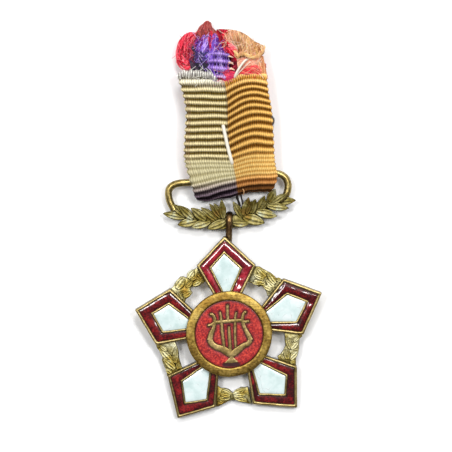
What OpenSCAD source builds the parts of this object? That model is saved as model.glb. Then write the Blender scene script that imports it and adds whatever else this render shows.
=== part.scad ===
// Miniature medal lying on its back: an enamelled five-armed star on a ring, a laurel suspension
// with a wire loop, and a short ribbed ribbon with a crumpled, frayed top and a safety pin behind.
// Millimetres. X is to the wearer's left, Y runs from the star to the ribbon, Z is the face's side.

/* [Star] */
// Distance from the star's centre to the tip of an arm
star_r = 10.9; // [10.6:0.1:11.1]
// Thickness of the star at its rims
star_t = 1.2; // [1.1:0.05:1.3]
// Width of the rim round each arm
rim_w = 0.28; // [0.22:0.02:0.34]
// Width of the metal line between the red and the white enamel
line_w = 0.2; // [0.14:0.02:0.24]
// Depth of the enamel fields
field_d = 0.5; // [0.4:0.05:0.6]

/* [Medallion] */
// Radius of the round medallion
medallion_r = 4.74; // [4.6:0.02:4.8]
// Radius of its red field
field_r = 3.72; // [3.6:0.02:3.8]
// How far the medallion stands above the arms
medallion_h = 0.6; // [0.5:0.05:0.8]

/* [Suspension] */
// Diameter of the loop's wire
wire_d = 0.8; // [0.7:0.02:0.82]
// Length of the loop, over the middle of its wire
loop_w = 13.3; // [13.1:0.1:13.5]
// Distance from the laurel's stem to the loop's bar
loop_h = 4.95; // [4.9:0.05:5]
// Diameter of the jump ring's wire
ring_wire_d = 0.62; // [0.58:0.01:0.63]

/* [Ribbon] */
// Thickness of the cloth over its ribs
cloth_t = 1.0; // [0.96:0.01:1.02]
// Distance from one rib to the next
rib_pitch = 0.74; // [0.7:0.01:0.8]
// Depth of the grooves between the ribs
rib_depth = 0.24; // [0.16:0.02:0.3]

/* [Pin] */
// Diameter of the safety pin's wire
pin_wire_d = 0.45; // [0.4:0.01:0.46]
// Length of the safety pin
pin_len = 9.7; // [9.4:0.1:9.8]

/* [Hidden] */
$fn = 48;

gap = 0.02;
brass = "#94834a";
enamel_red = "#a3202c";
enamel_white = "#e6efe8";

// The star's place: its centre, the turn of its top arm from +Y, and the slope at which it leans
// on the ring, with both lower tips on the table.
arms = 5;
star_centre = [0.29, -12.29];
star_turn = 4.7;
ring_height_under_star = 1.97;
staple_from_centre = 9.15;
lower_tips = star_r * cos(36);
star_lean = atan(ring_height_under_star / (staple_from_centre + lower_tips));
medallion_offset = [-0.22, -0.01];

// One arm, along +Y: where its shoulders and its foot are, from the star's centre.
shoulder_y = star_r - 3.18;
shoulder_x = 3.22;
foot_y = 4;
foot_x = 1.66;
kite_tip_y = star_r - 1.9;
kite_shoulder_y = 7.3;
kite_shoulder_x = 1.66;
kite_foot_x = 0.68;
hub_r = 4.86;

arm_outline = [[0, star_r], [-shoulder_x, shoulder_y], [-foot_x, foot_y], [foot_x, foot_y], [shoulder_x, shoulder_y]];
kite_outline = [[0, kite_tip_y], [-kite_shoulder_x, kite_shoulder_y], [-kite_foot_x, foot_y],
                [kite_foot_x, foot_y], [kite_shoulder_x, kite_shoulder_y]];

// Where two lines cross, each given by a point and a direction.
function crossing(p, d, q, e) =
    let (t = ((q[0] - p[0]) * e[1] - (q[1] - p[1]) * e[0]) / (d[0] * e[1] - d[1] * e[0])) p + t * d;

// A counter-clockwise outline with every side moved inwards by a distance.
function inset(outline, by) =
    let (n = len(outline))
    [for (i = [0:n - 1])
        let (a = outline[(i + n - 1) % n], b = outline[i], c = outline[(i + 1) % n],
             d = (b - a) / norm(b - a), e = (c - b) / norm(c - b))
        crossing(b + by * [-d[1], d[0]], d, b + by * [-e[1], e[0]], e)];

// Triangles that close a ring of n points, from one side of it to the other.
function ring_cap(n) =
    let (order = [for (k = [0:n - 1]) k % 2 == 0 ? k / 2 : n - (k + 1) / 2])
    [for (k = [0:n - 3])
        k % 2 == 0 ? [order[k + 1], order[k], order[k + 2]] : [order[k], order[k + 1], order[k + 2]]];

// A closed solid through a list of rings, each with the same number of points. A loop's last ring
// joins its first one.
module loft(rings, loop = false) {
    n = len(rings[0]);
    count = len(rings);
    cap = loop ? [] : ring_cap(n);
    sides = [for (i = [0:count - (loop ? 1 : 2)], j = [0:n - 1])
        let (k = (j + 1) % n, from = i * n, to = (i + 1) % count * n)
        each [[from + j, from + k, to + k], [from + j, to + k, to + j]]];
    start = [for (t = cap) [t[2], t[1], t[0]]];
    end = [for (t = cap) [for (v = t) (count - 1) * n + v]];
    polyhedron(points = [for (ring = rings) each ring], faces = concat(sides, start, end), convexity = 8);
}

// A round wire along a path in the XY plane.
wire_sides = 12;
module wire(path, d, loop = false) {
    n = len(path);
    loft([for (i = [0:n - 1])
        let (before = path[loop ? (i + n - 1) % n : max(i - 1, 0)], after = path[loop ? (i + 1) % n : min(i + 1, n - 1)],
             along = (after - before) / norm(after - before), side = [-along[1], along[0]])
        [for (k = [0:wire_sides - 1])
            let (a = -360 * k / wire_sides)
            [path[i][0] + d / 2 * cos(a) * side[0], path[i][1] + d / 2 * cos(a) * side[1], d / 2 * sin(a)]]], loop);
}

// Points of an arc round a centre, from one angle to another.
function arc(centre, r, from, to, steps) =
    [for (k = [0:steps]) let (a = from + (to - from) * k / steps) centre + r * [cos(a), sin(a)]];

// A pointed leaf from its base at the origin to its tip on +X, with a raised rib along it.
rib_share = 0.4;
module lens(length, width) {
    r = (length * length + width * width) / (4 * width);
    intersection() {
        translate([length / 2, width / 2 - r]) circle(r = r);
        translate([length / 2, r - width / 2]) circle(r = r);
    }
}

module leaf(length, width, edge, rise) {
    linear_extrude(height = edge) lens(length, width);
    translate([0.02, 0, edge / 2]) linear_extrude(height = rise - edge / 2) lens(length * 0.9, width * rib_share);
}

// Puts something made round the star's centre, on z 0, into its place.
module in_star() {
    translate([star_centre[0], star_centre[1], 0]) rotate([0, 0, star_turn])
        translate([0, -lower_tips, 0]) rotate([star_lean, 0, 0]) translate([0, lower_tips, 0]) children();
}

module on_arm(i) {
    rotate([0, 0, 360 / arms * i]) children();
}

module red_field(shrink) {
    difference() {
        polygon(inset(arm_outline, rim_w + shrink));
        polygon(inset(kite_outline, -line_w - shrink));
        circle(r = hub_r + shrink);
    }
}

module white_field(shrink) {
    difference() {
        polygon(inset(kite_outline, shrink));
        circle(r = hub_r + shrink);
    }
}

// A laurel link between two arms: its band, and leaves that run both ways from the middle.
link_r = 7.1;
link_band_w = 1.2;
link_band_t = 0.55;
link_half_len = 2.5;
link_leaf_len = 1.35;
link_leaf_w = 0.72;
link_leaf_rise = 1.05;
link_pairs = 3;
module laurel_link() {
    translate([0, link_r, 0]) {
        linear_extrude(height = link_band_t)
            polygon([[-link_half_len, -0.5], [0, -0.25], [link_half_len, -0.5],
                     [link_half_len, 0.5], [0, 0.35], [-link_half_len, 0.5]]);
        for (side = [0, 1], k = [0:link_pairs - 1], up = [-1, 1])
            mirror([side, 0, 0])
                translate([0.12 + k * (link_half_len - 0.75) / link_pairs, up * 0.05, 0.02 * k])
                    rotate([0, 0, up * 27]) leaf(link_leaf_len, link_leaf_w, link_band_t, link_leaf_rise);
    }
}

// The wire bridge on the back of the top arm that the jump ring passes through.
staple_d = 0.46;
staple_half_w = 1.15;
staple_drop = 1.0;
module staple() {
    translate([0, staple_from_centre, 0]) {
        for (side = [-1, 1]) translate([side * staple_half_w, 0, -staple_drop])
            cylinder(d = staple_d * 0.9, h = staple_drop + 0.2);
        translate([-staple_half_w - staple_d / 2, 0, -staple_drop]) rotate([0, 90, 0])
            cylinder(d = staple_d, h = 2 * staple_half_w + staple_d);
    }
}

module star_body() {
    color(brass) in_star() {
        difference() {
            union() {
                for (i = [0:arms - 1]) on_arm(i) linear_extrude(height = star_t) polygon(arm_outline);
                cylinder(r = hub_r, h = star_t, $fn = 96);
            }
            for (i = [0:arms - 1]) on_arm(i) translate([0, 0, star_t - field_d]) linear_extrude(height = field_d + 1) {
                red_field(0);
                white_field(0);
            }
        }
        for (i = [0:arms - 1]) on_arm(i + 0.5) laurel_link();
        staple();
    }
}

enamel_t = field_d - 0.08;
module red_enamel(i) {
    color(enamel_red) in_star() on_arm(i) translate([0, 0, star_t - field_d + gap])
        linear_extrude(height = enamel_t) red_field(gap);
}

module white_enamel(i) {
    color(enamel_white) in_star() on_arm(i) translate([0, 0, star_t - field_d + gap])
        linear_extrude(height = enamel_t) white_field(gap);
}

// The lyre, drawn flat round the medallion's centre. Strokes are straight bars and arcs.
module stroke(from, to, w) {
    d = to - from;
    translate(from) rotate([0, 0, atan2(d[1], d[0])]) translate([0, -w / 2]) square([norm(d), w]);
    translate(from) circle(d = w);
    translate(to) circle(d = w);
}

string_w = 0.17;
frame_w = 0.3;
bowl_w = 0.42;
lyre_strings = [-0.62, 0, 0.62];
// Right half of the frame: out along the bowl, and from its corner up the arm to the scroll.
lyre_bowl = [[0, -2.15], [0.62, -1.95], [1.45, -1.42], [2.2, -1.0], [2.52, -0.62]];
lyre_arm = [[2.52, -0.62], [2.1, -0.1], [1.76, 0.6], [1.62, 1.35], [1.68, 1.95], [1.9, 2.22]];
lyre_steps = 2;
module line(points, w) {
    for (k = [0:len(points) - 2]) stroke(points[k], points[k + 1], w);
}

module lyre(grow) {
    thin = string_w + 2 * grow;
    for (side = [0, 1]) mirror([side, 0]) {
        line(smooth_rows(lyre_bowl, lyre_steps), bowl_w + 2 * grow);
        line(smooth_rows(lyre_arm, lyre_steps), frame_w + 2 * grow);
        translate([1.86, 2.28]) circle(d = 0.44 + 2 * grow);
        stroke([1.7, 1.0], [2.1, 1.1], thin);
        translate([2.2, 1.15]) circle(d = 0.38 + 2 * grow);
        stroke([0.62, 1.4], [0.7, 2.2], thin);
        stroke([1.12, 1.4], [1.2, 2.0], thin);
    }
    stroke([-1.62, 1.42], [1.62, 1.42], 0.24 + 2 * grow);
    for (x = lyre_strings) stroke([x, 1.42], [x, -1.75], thin);
    stroke([0, 1.4], [0, 2.95], thin);
    stroke([0, -2.25], [0, -2.8], 0.5 + 2 * grow);
    polygon([[-0.16 - grow, -2.6], [-0.82 - 2 * grow, -3.28 - grow], [0.82 + 2 * grow, -3.28 - grow], [0.16 + grow, -2.6]]);
}

medallion_t = medallion_h;
medallion_field_d = 0.34;
module on_medallion() {
    in_star() translate([medallion_offset[0], medallion_offset[1], star_t + gap]) children();
}

module medallion() {
    color(brass) on_medallion() {
        difference() {
            cylinder(r = medallion_r, h = medallion_t, $fn = 96);
            translate([0, 0, medallion_t - medallion_field_d]) cylinder(r = field_r, h = 1, $fn = 96);
        }
        translate([0, 0, medallion_t - medallion_field_d - 0.02])
            linear_extrude(height = medallion_field_d + 0.02, $fn = 24) lyre(0);
    }
}

module medallion_enamel() {
    color(enamel_red) on_medallion() translate([0, 0, medallion_t - medallion_field_d + gap])
        linear_extrude(height = medallion_field_d - 0.1) difference() {
            circle(r = field_r - gap, $fn = 96);
            lyre(gap, $fn = 24);
        }
}

// The jump ring stands on its edge: a wide turn round the laurel's stem and a narrow one round
// the staple, joined by two straight legs. The back leg lies on the table.
ring_at = [0.1, 0.04];
ring_turn = -1.8;
ring_wide_r = 0.81;
ring_narrow_r = 0.65;
ring_centres = 3.2;
module jump_ring() {
    slope = asin((ring_wide_r - ring_narrow_r) / ring_centres);
    path = concat(arc([0, 0], ring_wide_r, 90 - slope, 270 + slope, 14),
                  arc([ring_centres, 0], ring_narrow_r, -90 + slope, 90 - slope, 12));
    color("#5d4a2c") translate([ring_at[0], ring_at[1], ring_wire_d / 2 + ring_wide_r])
        rotate([0, 0, ring_turn]) rotate([90, 0, -90]) rotate([0, 0, -slope]) wire(path, ring_wire_d, true);
}

// The suspension: its stem's middle, its turn in the photograph's plane, and its slope, because
// the stem lies on the jump ring and the bar on the ribbon's back.
stem_at = [0.32, -0.22, 1.1];
suspension_turn = 5.8;
suspension_slope = 4;
bend_r = 1.2;
plate_t = 0.8;

// Leaves of each branch, from the middle outwards.
// Columns: distance along the branch, height over the stem's middle, length, width, turn from the branch.
upper_leaves = [
    [0.95, 0.5, 1.95, 0.62, 96], [1.5, 0.55, 1.9, 0.8, 66], [2.45, 0.6, 1.75, 0.8, 56],
    [3.3, 0.75, 1.8, 0.8, 50], [4.3, 1.0, 1.75, 0.8, 48], [5.1, 1.35, 1.5, 0.75, 46]];
lower_leaves = [
    [0.58, 0.14, 1.5, 0.8, -12], [1.2, 0.4, 2.1, 0.86, -20], [2.6, 0.55, 2.1, 0.86, -13],
    [3.8, 0.85, 2.1, 0.84, -6], [4.9, 1.35, 2.5, 0.84, 10]];
// The branch's stem: distance along, height.
stem_path = [[0, 0.15], [1.5, 0.45], [3, 0.65], [4.4, 1.05], [5.8, 1.75]];

module branch() {
    for (row = upper_leaves) translate([row[0], row[1], -plate_t / 2]) rotate([0, 0, row[4]])
        leaf(row[2], row[3], plate_t * 0.8, plate_t + 0.35);
    for (row = lower_leaves) translate([row[0], row[1], -plate_t / 2]) rotate([0, 0, row[4]])
        leaf(row[2], row[3], plate_t * 0.75, plate_t + 0.3);
    translate([0, 0, -plate_t / 2]) linear_extrude(height = plate_t * 0.9)
        for (k = [0:len(stem_path) - 2]) stroke(stem_path[k], stem_path[k + 1], 0.55, $fn = 24);
}

// The wire loop: from the end of one branch round the bar to the end of the other.
loop_foot = [5.85, 1.9];
bend_turn = 118;
bend_centre = [loop_w / 2 - bend_r, loop_h - bend_r];
right_half = concat([loop_foot], arc(bend_centre, bend_r, 90 - bend_turn, 90, 8));
loop_path = concat(right_half, [for (k = [len(right_half) - 1:-1:0]) [-right_half[k][0], right_half[k][1]]]);

module laurel_suspension() {
    color(brass) translate(stem_at) rotate([0, 0, suspension_turn]) rotate([suspension_slope, 0, 0]) {
        for (side = [0, 1]) mirror([side, 0, 0]) branch();
        wire(loop_path, wire_d);
    }
}

// The ribbon as a chain of sections: from the tucked end over the top edge, down the front, round
// the wire's bar and up the back. Each section runs across the cloth through its left edge, the
// crease, the crown of the right half and the right edge.
// Columns: y and z of the crease; x of the left edge, crease and right edge; how much higher than
// the crease the left edge, the right half's crown and the right edge lie; crown's height in z.
ribbon_sections = [
    [13.5, 1.79, -4.95, -0.5, 4.0, 1.1, 0.95, 0.75, 0],
    [13.9, 1.78, -5.0, -0.5, 4.1, 1.1, 0.95, 0.75, 0],
    [14.36, 1.96, -5.05, -0.5, 4.15, 1.1, 0.95, 0.75, 0],
    [14.56, 2.42, -5.05, -0.5, 4.2, 1.1, 0.95, 0.75, 0],
    [14.36, 2.88, -5.05, -0.5, 4.25, 1.1, 0.97, 0.75, 0.03],
    [13.9, 3.06, -5.0, -0.48, 4.3, 1.07, 1.0, 0.78, 0.07],
    [13.1, 3.0, -4.85, -0.42, 4.45, 0.8, 1.15, 0.85, 0.15],
    [11.8, 2.9, -4.7, -0.32, 4.7, 0.5, 1.25, 0.95, 0.2],
    [10.2, 2.8, -4.72, -0.2, 4.85, 0.35, 1.2, 0.95, 0.2],
    [8.4, 2.68, -4.85, 0.05, 4.98, 0.3, 1.0, 0.85, 0.16],
    [6.8, 2.58, -4.85, 0.4, 5.05, 0.1, 0.7, 0.7, 0.1],
    [5.6, 2.5, -4.5, 0.65, 5.2, -0.2, 0.5, 0.55, 0.05],
    [4.8, 2.44, -4.2, 0.8, 5.4, -0.45, 0.4, 0.5, 0.02],
    [4.1, 2.4, -3.95, 0.9, 5.4, -0.5, 0.4, 0.5, 0],
    [3.58, 2.05, -3.7, 0.95, 5.3, -0.55, 0.42, 0.55, 0],
    [3.42, 1.46, -3.5, 0.95, 5.2, -0.55, 0.42, 0.55, 0],
    [3.58, 0.87, -3.6, 0.9, 5.15, -0.55, 0.42, 0.55, 0],
    [4.1, 0.52, -3.9, 0.8, 5.1, -0.5, 0.4, 0.5, 0],
    [5.2, 0.51, -4.2, 0.6, 4.9, -0.4, 0.35, 0.4, 0],
    [6.8, 0.55, -4.5, 0.3, 4.7, -0.2, 0.2, 0.2, 0],
    [8.4, 0.95, -4.6, 0.1, 4.65, 0, 0.1, 0, 0],
    [9.6, 1.42, -4.6, 0, 4.6, 0, 0, 0, 0],
    [10.6, 1.6, -4.6, 0, 4.6, 0, 0, 0, 0],
    [11.6, 1.58, -4.6, 0, 4.5, 0, 0, 0, 0],
    [12.4, 1.3, -4.55, 0, 4.4, 0, 0, 0, 0],
    [13.3, 0.72, -4.5, 0, 4.3, 0, 0, 0, 0],
    [14.2, 0.54, -4.3, 0, 4.2, 0, 0, 0, 0],
    [15.6, 0.54, -4.0, 0, 4.1, 0, 0, 0, 0],
    [17.2, 0.54, -3.75, 0, 3.9, 0, 0, 0, 0],
    [19.2, 0.54, -3.5, 0, 3.5, 0, 0, 0, 0]];
crown_at = 0.62; // share of the right half at which its crown lies
across = [0, 0.25, 0.5, 1]; // shares of the left half
across_right = [0.3, crown_at, 1]; // shares of the right half
samples_per_rib = 4;
spline_steps = 6;

// A point of the smooth curve through four rows, at a share t between the middle two.
function between(a, b, c, d, t) =
    0.5 * (2 * b + (c - a) * t + (2 * a - 5 * b + 4 * c - d) * t * t + (3 * b - a - 3 * c + d) * t * t * t);

function smooth_rows(rows, steps) =
    let (last = len(rows) - 1)
    concat([for (i = [0:last - 1], k = [0:steps - 1])
        between(rows[max(i - 1, 0)], rows[i], rows[i + 1], rows[min(i + 2, last)], k / steps)], [rows[last]]);

function distances(rows) =
    [for (i = 0, s = 0; i < len(rows);
          s = s + (i + 1 < len(rows) ? norm([rows[i + 1][0] - rows[i][0], rows[i + 1][1] - rows[i][1]]) : 0), i = i + 1) s];

// Rows at even steps of length along the curve, with the length added as the last column.
function even_rows(rows, step) =
    let (s = distances(rows), n = round(s[len(s) - 1] / step), width = len(rows[0]))
    [for (i = [0:n])
        let (at = s[len(s) - 1] * i / n)
        [for (c = [0:width - 1]) lookup(at, [for (k = [0:len(rows) - 1]) [s[k], rows[k][c]]]), at]];

// The cloth's middle across one section.
function section_line(r) = concat(
    [for (u = across) [r[2] + (r[3] - r[2]) * u, r[0] + r[5] * (1 - u), r[1] + 0.4 * r[8] * sin(180 * u)]],
    [for (u = across_right)
        [r[3] + (r[4] - r[3]) * u,
         r[0] + (u <= crown_at ? r[6] * sin(90 * u / crown_at) : r[6] + (r[7] - r[6]) * (u - crown_at) / (1 - crown_at)),
         r[1] + r[8] * sin(180 * u)]]);

function unit(v) = v / norm(v);

// Rings round the cloth: its ribbed outer face, and its plain inner one.
function cloth_rings(rows) =
    let (grid = [for (r = rows) section_line(r)], n = len(grid), m = len(grid[0]))
    [for (i = [0:n - 1])
        let (phase = 360 * rows[i][9] / rib_pitch,
             outer = cloth_t / 2 - rib_depth * (1 - cos(phase)) / 2,
             normals = [for (j = [0:m - 1]) unit(cross(
                 grid[i][min(j + 1, m - 1)] - grid[i][max(j - 1, 0)],
                 grid[max(i - 1, 0)][j] - grid[min(i + 1, n - 1)][j]))])
        concat([for (j = [0:m - 1]) grid[i][j] + outer * normals[j]],
               [for (j = [m - 1:-1:0]) grid[i][j] - cloth_t / 2 * normals[j]])];

module ribbon() {
    color("#cfae6a") loft(cloth_rings(even_rows(smooth_rows(ribbon_sections, spline_steps), rib_pitch / samples_per_rib)));
}

// A roll or doubled fold of cloth along a path that lies nearly flat, with pleats along it.
// Columns: x, y, z, half its width across the path, half its height.
function fold_rings(rows, sides, pleat) =
    let (n = len(rows))
    [for (i = [0:n - 1])
        let (d = rows[min(i + 1, n - 1)] - rows[max(i - 1, 0)], side = unit([-d[1], d[0], 0]))
        [for (k = [0:sides - 1])
            let (a = 360 * (k + 0.5) / sides, swell = 1 - pleat * (k % 2))
            [rows[i][0], rows[i][1], rows[i][2]] + rows[i][3] * cos(a) * side + [0, 0, rows[i][4] * swell * sin(a)]]];

fold_steps = 3;
red_roll_path = [
    [-3.5, 20.4, 1.75, 0.15, 0.25], [-3.75, 20.38, 1.72, 0.4, 0.5], [-4.22, 20.2, 1.5, 0.58, 0.75],
    [-4.72, 19.7, 1.25, 0.64, 0.95], [-4.97, 19.0, 1.15, 0.68, 1.0], [-5.02, 18.2, 1.15, 0.69, 1.02],
    [-4.9, 17.55, 1.25, 0.67, 0.98], [-4.6, 17.15, 1.6, 0.55, 0.8], [-4.2, 17.0, 1.85, 0.4, 0.55],
    [-3.95, 16.98, 1.9, 0.15, 0.25]];
module red_roll() {
    color("#c5203a") loft(fold_rings(smooth_rows(red_roll_path, fold_steps), 12, 0.1));
}

violet_tuck_path = [
    [-0.85, 15.75, 1.7, 0.7, 0.4], [-0.95, 16.0, 1.9, 1.15, 0.7], [-1.15, 16.7, 2.1, 1.45, 0.95],
    [-1.45, 17.5, 2.25, 1.7, 1.1], [-1.68, 18.3, 2.3, 1.75, 1.15], [-1.85, 19.1, 2.3, 1.55, 1.1],
    [-1.95, 19.8, 2.25, 1.2, 0.9], [-1.98, 20.3, 2.15, 0.85, 0.6], [-2.0, 20.5, 2.05, 0.4, 0.3]];
module violet_tuck() {
    color("#6a4fb5") loft(fold_rings(smooth_rows(violet_tuck_path, fold_steps), 20, 0.12));
}

gold_tuck_path = [
    [-0.85, 20.75, 1.95, 0.25, 0.3], [-0.55, 20.62, 2.0, 0.5, 0.55], [0.2, 20.2, 2.1, 0.8, 0.85],
    [1.0, 19.7, 2.15, 1.05, 1.0], [1.75, 19.35, 2.15, 1.1, 1.02], [2.5, 19.05, 2.1, 1.02, 1.0],
    [3.3, 18.8, 2.05, 0.8, 0.9], [3.8, 18.72, 1.95, 0.45, 0.55], [3.98, 18.7, 1.9, 0.2, 0.25]];
module gold_tuck() {
    color("#d9a066") loft(fold_rings(smooth_rows(gold_tuck_path, fold_steps), 16, 0.12));
}

red_tuck_path = [
    [0.55, 16.4, 1.9, 0.25, 0.3], [0.85, 16.65, 2.0, 0.5, 0.6], [1.4, 17.0, 2.05, 0.68, 0.85],
    [2.2, 17.12, 2.05, 0.72, 0.92], [3.0, 17.15, 2.05, 0.7, 0.92], [3.7, 17.15, 2.0, 0.55, 0.8],
    [4.15, 17.15, 1.9, 0.25, 0.4]];
module red_tuck() {
    color("#d86a5c") loft(fold_rings(smooth_rows(red_tuck_path, fold_steps), 12, 0.1));
}

red_peak_path = [
    [-2.75, 19.35, 0.55, 0.8, 0.42], [-2.65, 19.9, 0.58, 1.0, 0.5], [-2.57, 20.6, 0.6, 0.9, 0.52],
    [-2.4, 21.15, 0.6, 0.6, 0.5], [-2.25, 21.65, 0.55, 0.3, 0.38], [-2.2, 22.0, 0.5, 0.1, 0.2]];
module red_peak() {
    color("#9c3a36") loft(fold_rings(smooth_rows(red_peak_path, fold_steps), 12, 0));
}

// A plain safety pin: coil, two legs and a cap.
pin_right = 5.12;
pin_y = 11.13;
coil_r = 0.46;
cap_len = 1.5;
cap_w = 1.5;
cap_h = 0.94;
module safety_pin() {
    coil_x = pin_right - coil_r - pin_wire_d / 2;
    cap_x = pin_right - pin_len;
    low = pin_wire_d / 2;
    high = pin_wire_d * 1.5 + gap;
    color("#5a5648") translate([0, pin_y, 0]) {
        translate([coil_x, 0, 0]) rotate_extrude() {
            for (z = [low, high]) translate([coil_r, z]) circle(d = pin_wire_d);
            translate([coil_r - pin_wire_d / 4, low]) square([pin_wire_d / 2, high - low]);
        }
        for (leg = [[-1, low], [1, high]])
            translate([cap_x + cap_len - 0.2, leg[0] * coil_r, leg[1]]) rotate([0, 90, 0])
                cylinder(d = pin_wire_d * 0.9, h = coil_x - cap_x - cap_len + 0.2);
        linear_extrude(height = cap_h) {
            translate([cap_x + cap_w / 2, 0]) circle(d = cap_w);
            translate([cap_x + cap_w / 2, -cap_w / 2]) square([cap_len - cap_w / 2, cap_w]);
        }
    }
}

star_body();
medallion();
medallion_enamel();
for (i = [0:arms - 1]) {
    red_enamel(i);
    white_enamel(i);
}
jump_ring();
laurel_suspension();
ribbon();
red_roll();
violet_tuck();
gold_tuck();
red_tuck();
red_peak();
safety_pin();
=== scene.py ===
import math
import bmesh
import bpy
import numpy as np
from mathutils import Matrix, Vector, noise


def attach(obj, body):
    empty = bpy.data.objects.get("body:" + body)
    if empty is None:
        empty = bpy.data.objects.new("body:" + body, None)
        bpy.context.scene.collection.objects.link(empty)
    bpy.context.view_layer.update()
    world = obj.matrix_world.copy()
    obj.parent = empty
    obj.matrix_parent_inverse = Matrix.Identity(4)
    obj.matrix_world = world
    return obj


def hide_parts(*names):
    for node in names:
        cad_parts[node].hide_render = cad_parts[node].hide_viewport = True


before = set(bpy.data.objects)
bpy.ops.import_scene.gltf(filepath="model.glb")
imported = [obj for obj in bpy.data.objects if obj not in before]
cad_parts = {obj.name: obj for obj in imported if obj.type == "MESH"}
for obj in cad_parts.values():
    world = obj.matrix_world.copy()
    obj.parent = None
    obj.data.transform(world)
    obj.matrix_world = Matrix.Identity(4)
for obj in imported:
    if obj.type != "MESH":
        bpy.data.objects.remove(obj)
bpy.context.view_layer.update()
noiseSeed = 2  # without a seed of its own this noise starts from the clock, and each run would differ
noise.seed_set(noiseSeed)

# Shapes are worked out in millimetres and turned to metres when a piece is made.
# Places read off the photograph are pixels of its 452 x 452 frame, with a height in mm.
mm = 0.001
photo = {"mmPerPixel": 0.11, "zeroX": 228.4, "zeroY": 221.5, "side": 452}


def fromPhoto(px, py, z=0.0):
    k = photo["mmPerPixel"]
    return np.array([(px - photo["zeroX"]) * k, (photo["zeroY"] - py) * k, z])


def addObject(name, data):
    made = bpy.data.objects.new(name, data)
    bpy.context.scene.collection.objects.link(made)
    return made


# Camera, straight above as in the photograph

view = {"height": 0.45, "aim": 0.002, "sensor": 36.0}


def makeCamera():
    half = photo["side"] / 2
    x, y, _ = fromPhoto(half, half) * mm
    data = bpy.data.cameras.new("camera")
    data.sensor_width = view["sensor"]
    data.lens = view["sensor"] * (view["height"] - view["aim"]) / (photo["side"] * photo["mmPerPixel"] * mm)
    data.clip_start = 0.01
    camera = addObject("camera", data)
    camera.location = (x, y, view["height"])
    bpy.context.scene.camera = camera


makeCamera()


# Colours and materials

def hexColour(code):
    parts = [int(code[i:i + 2], 16) / 255 for i in (1, 3, 5)]
    return [c / 12.92 if c <= 0.04045 else ((c + 0.055) / 1.055) ** 2.4 for c in parts] + [1.0]


def dyeOf(code):
    return np.array(hexColour(code)[:3])


def setInputs(tree, node, inputs):
    # each value is a number, a colour, a socket, or a node that stands for its first open output
    for name, value in inputs.items():
        if isinstance(value, bpy.types.Node):
            value = next(socket for socket in value.outputs if socket.enabled)
        if isinstance(value, bpy.types.NodeSocket):
            tree.links.new(value, node.inputs[name])
        else:
            node.inputs[name].default_value = value


def addNode(tree, kind, inputs=None, stops=None, **settings):
    family = "" if kind.startswith(("Geometry", "NodeGroup")) else "ShaderNode"
    made = tree.nodes.new(family + kind)
    for key, value in settings.items():
        setattr(made, key, value)
    setInputs(tree, made, inputs or {})
    if stops:  # colour ramp: (place, hex colour) pairs
        ramp = made.color_ramp.elements
        while len(ramp) < len(stops):
            ramp.new(0.5)
        for element, (place, code) in zip(ramp, stops):
            element.position = place
            element.color = hexColour(code)
    return made


def perMm(size):  # scale of a texture on Object coordinates whose features are this many mm wide
    return 1 / (size * mm)


def startMaterial(name, **sockets):
    material = bpy.data.materials.new(name)
    material.use_nodes = True
    tree = material.node_tree
    shader = tree.nodes["Principled BSDF"]
    for key, value in sockets.items():
        shader.inputs[key.replace("_", " ")].default_value = value
    place = addNode(tree, "TexCoord").outputs["Object"]
    return material, tree, shader, place


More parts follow.
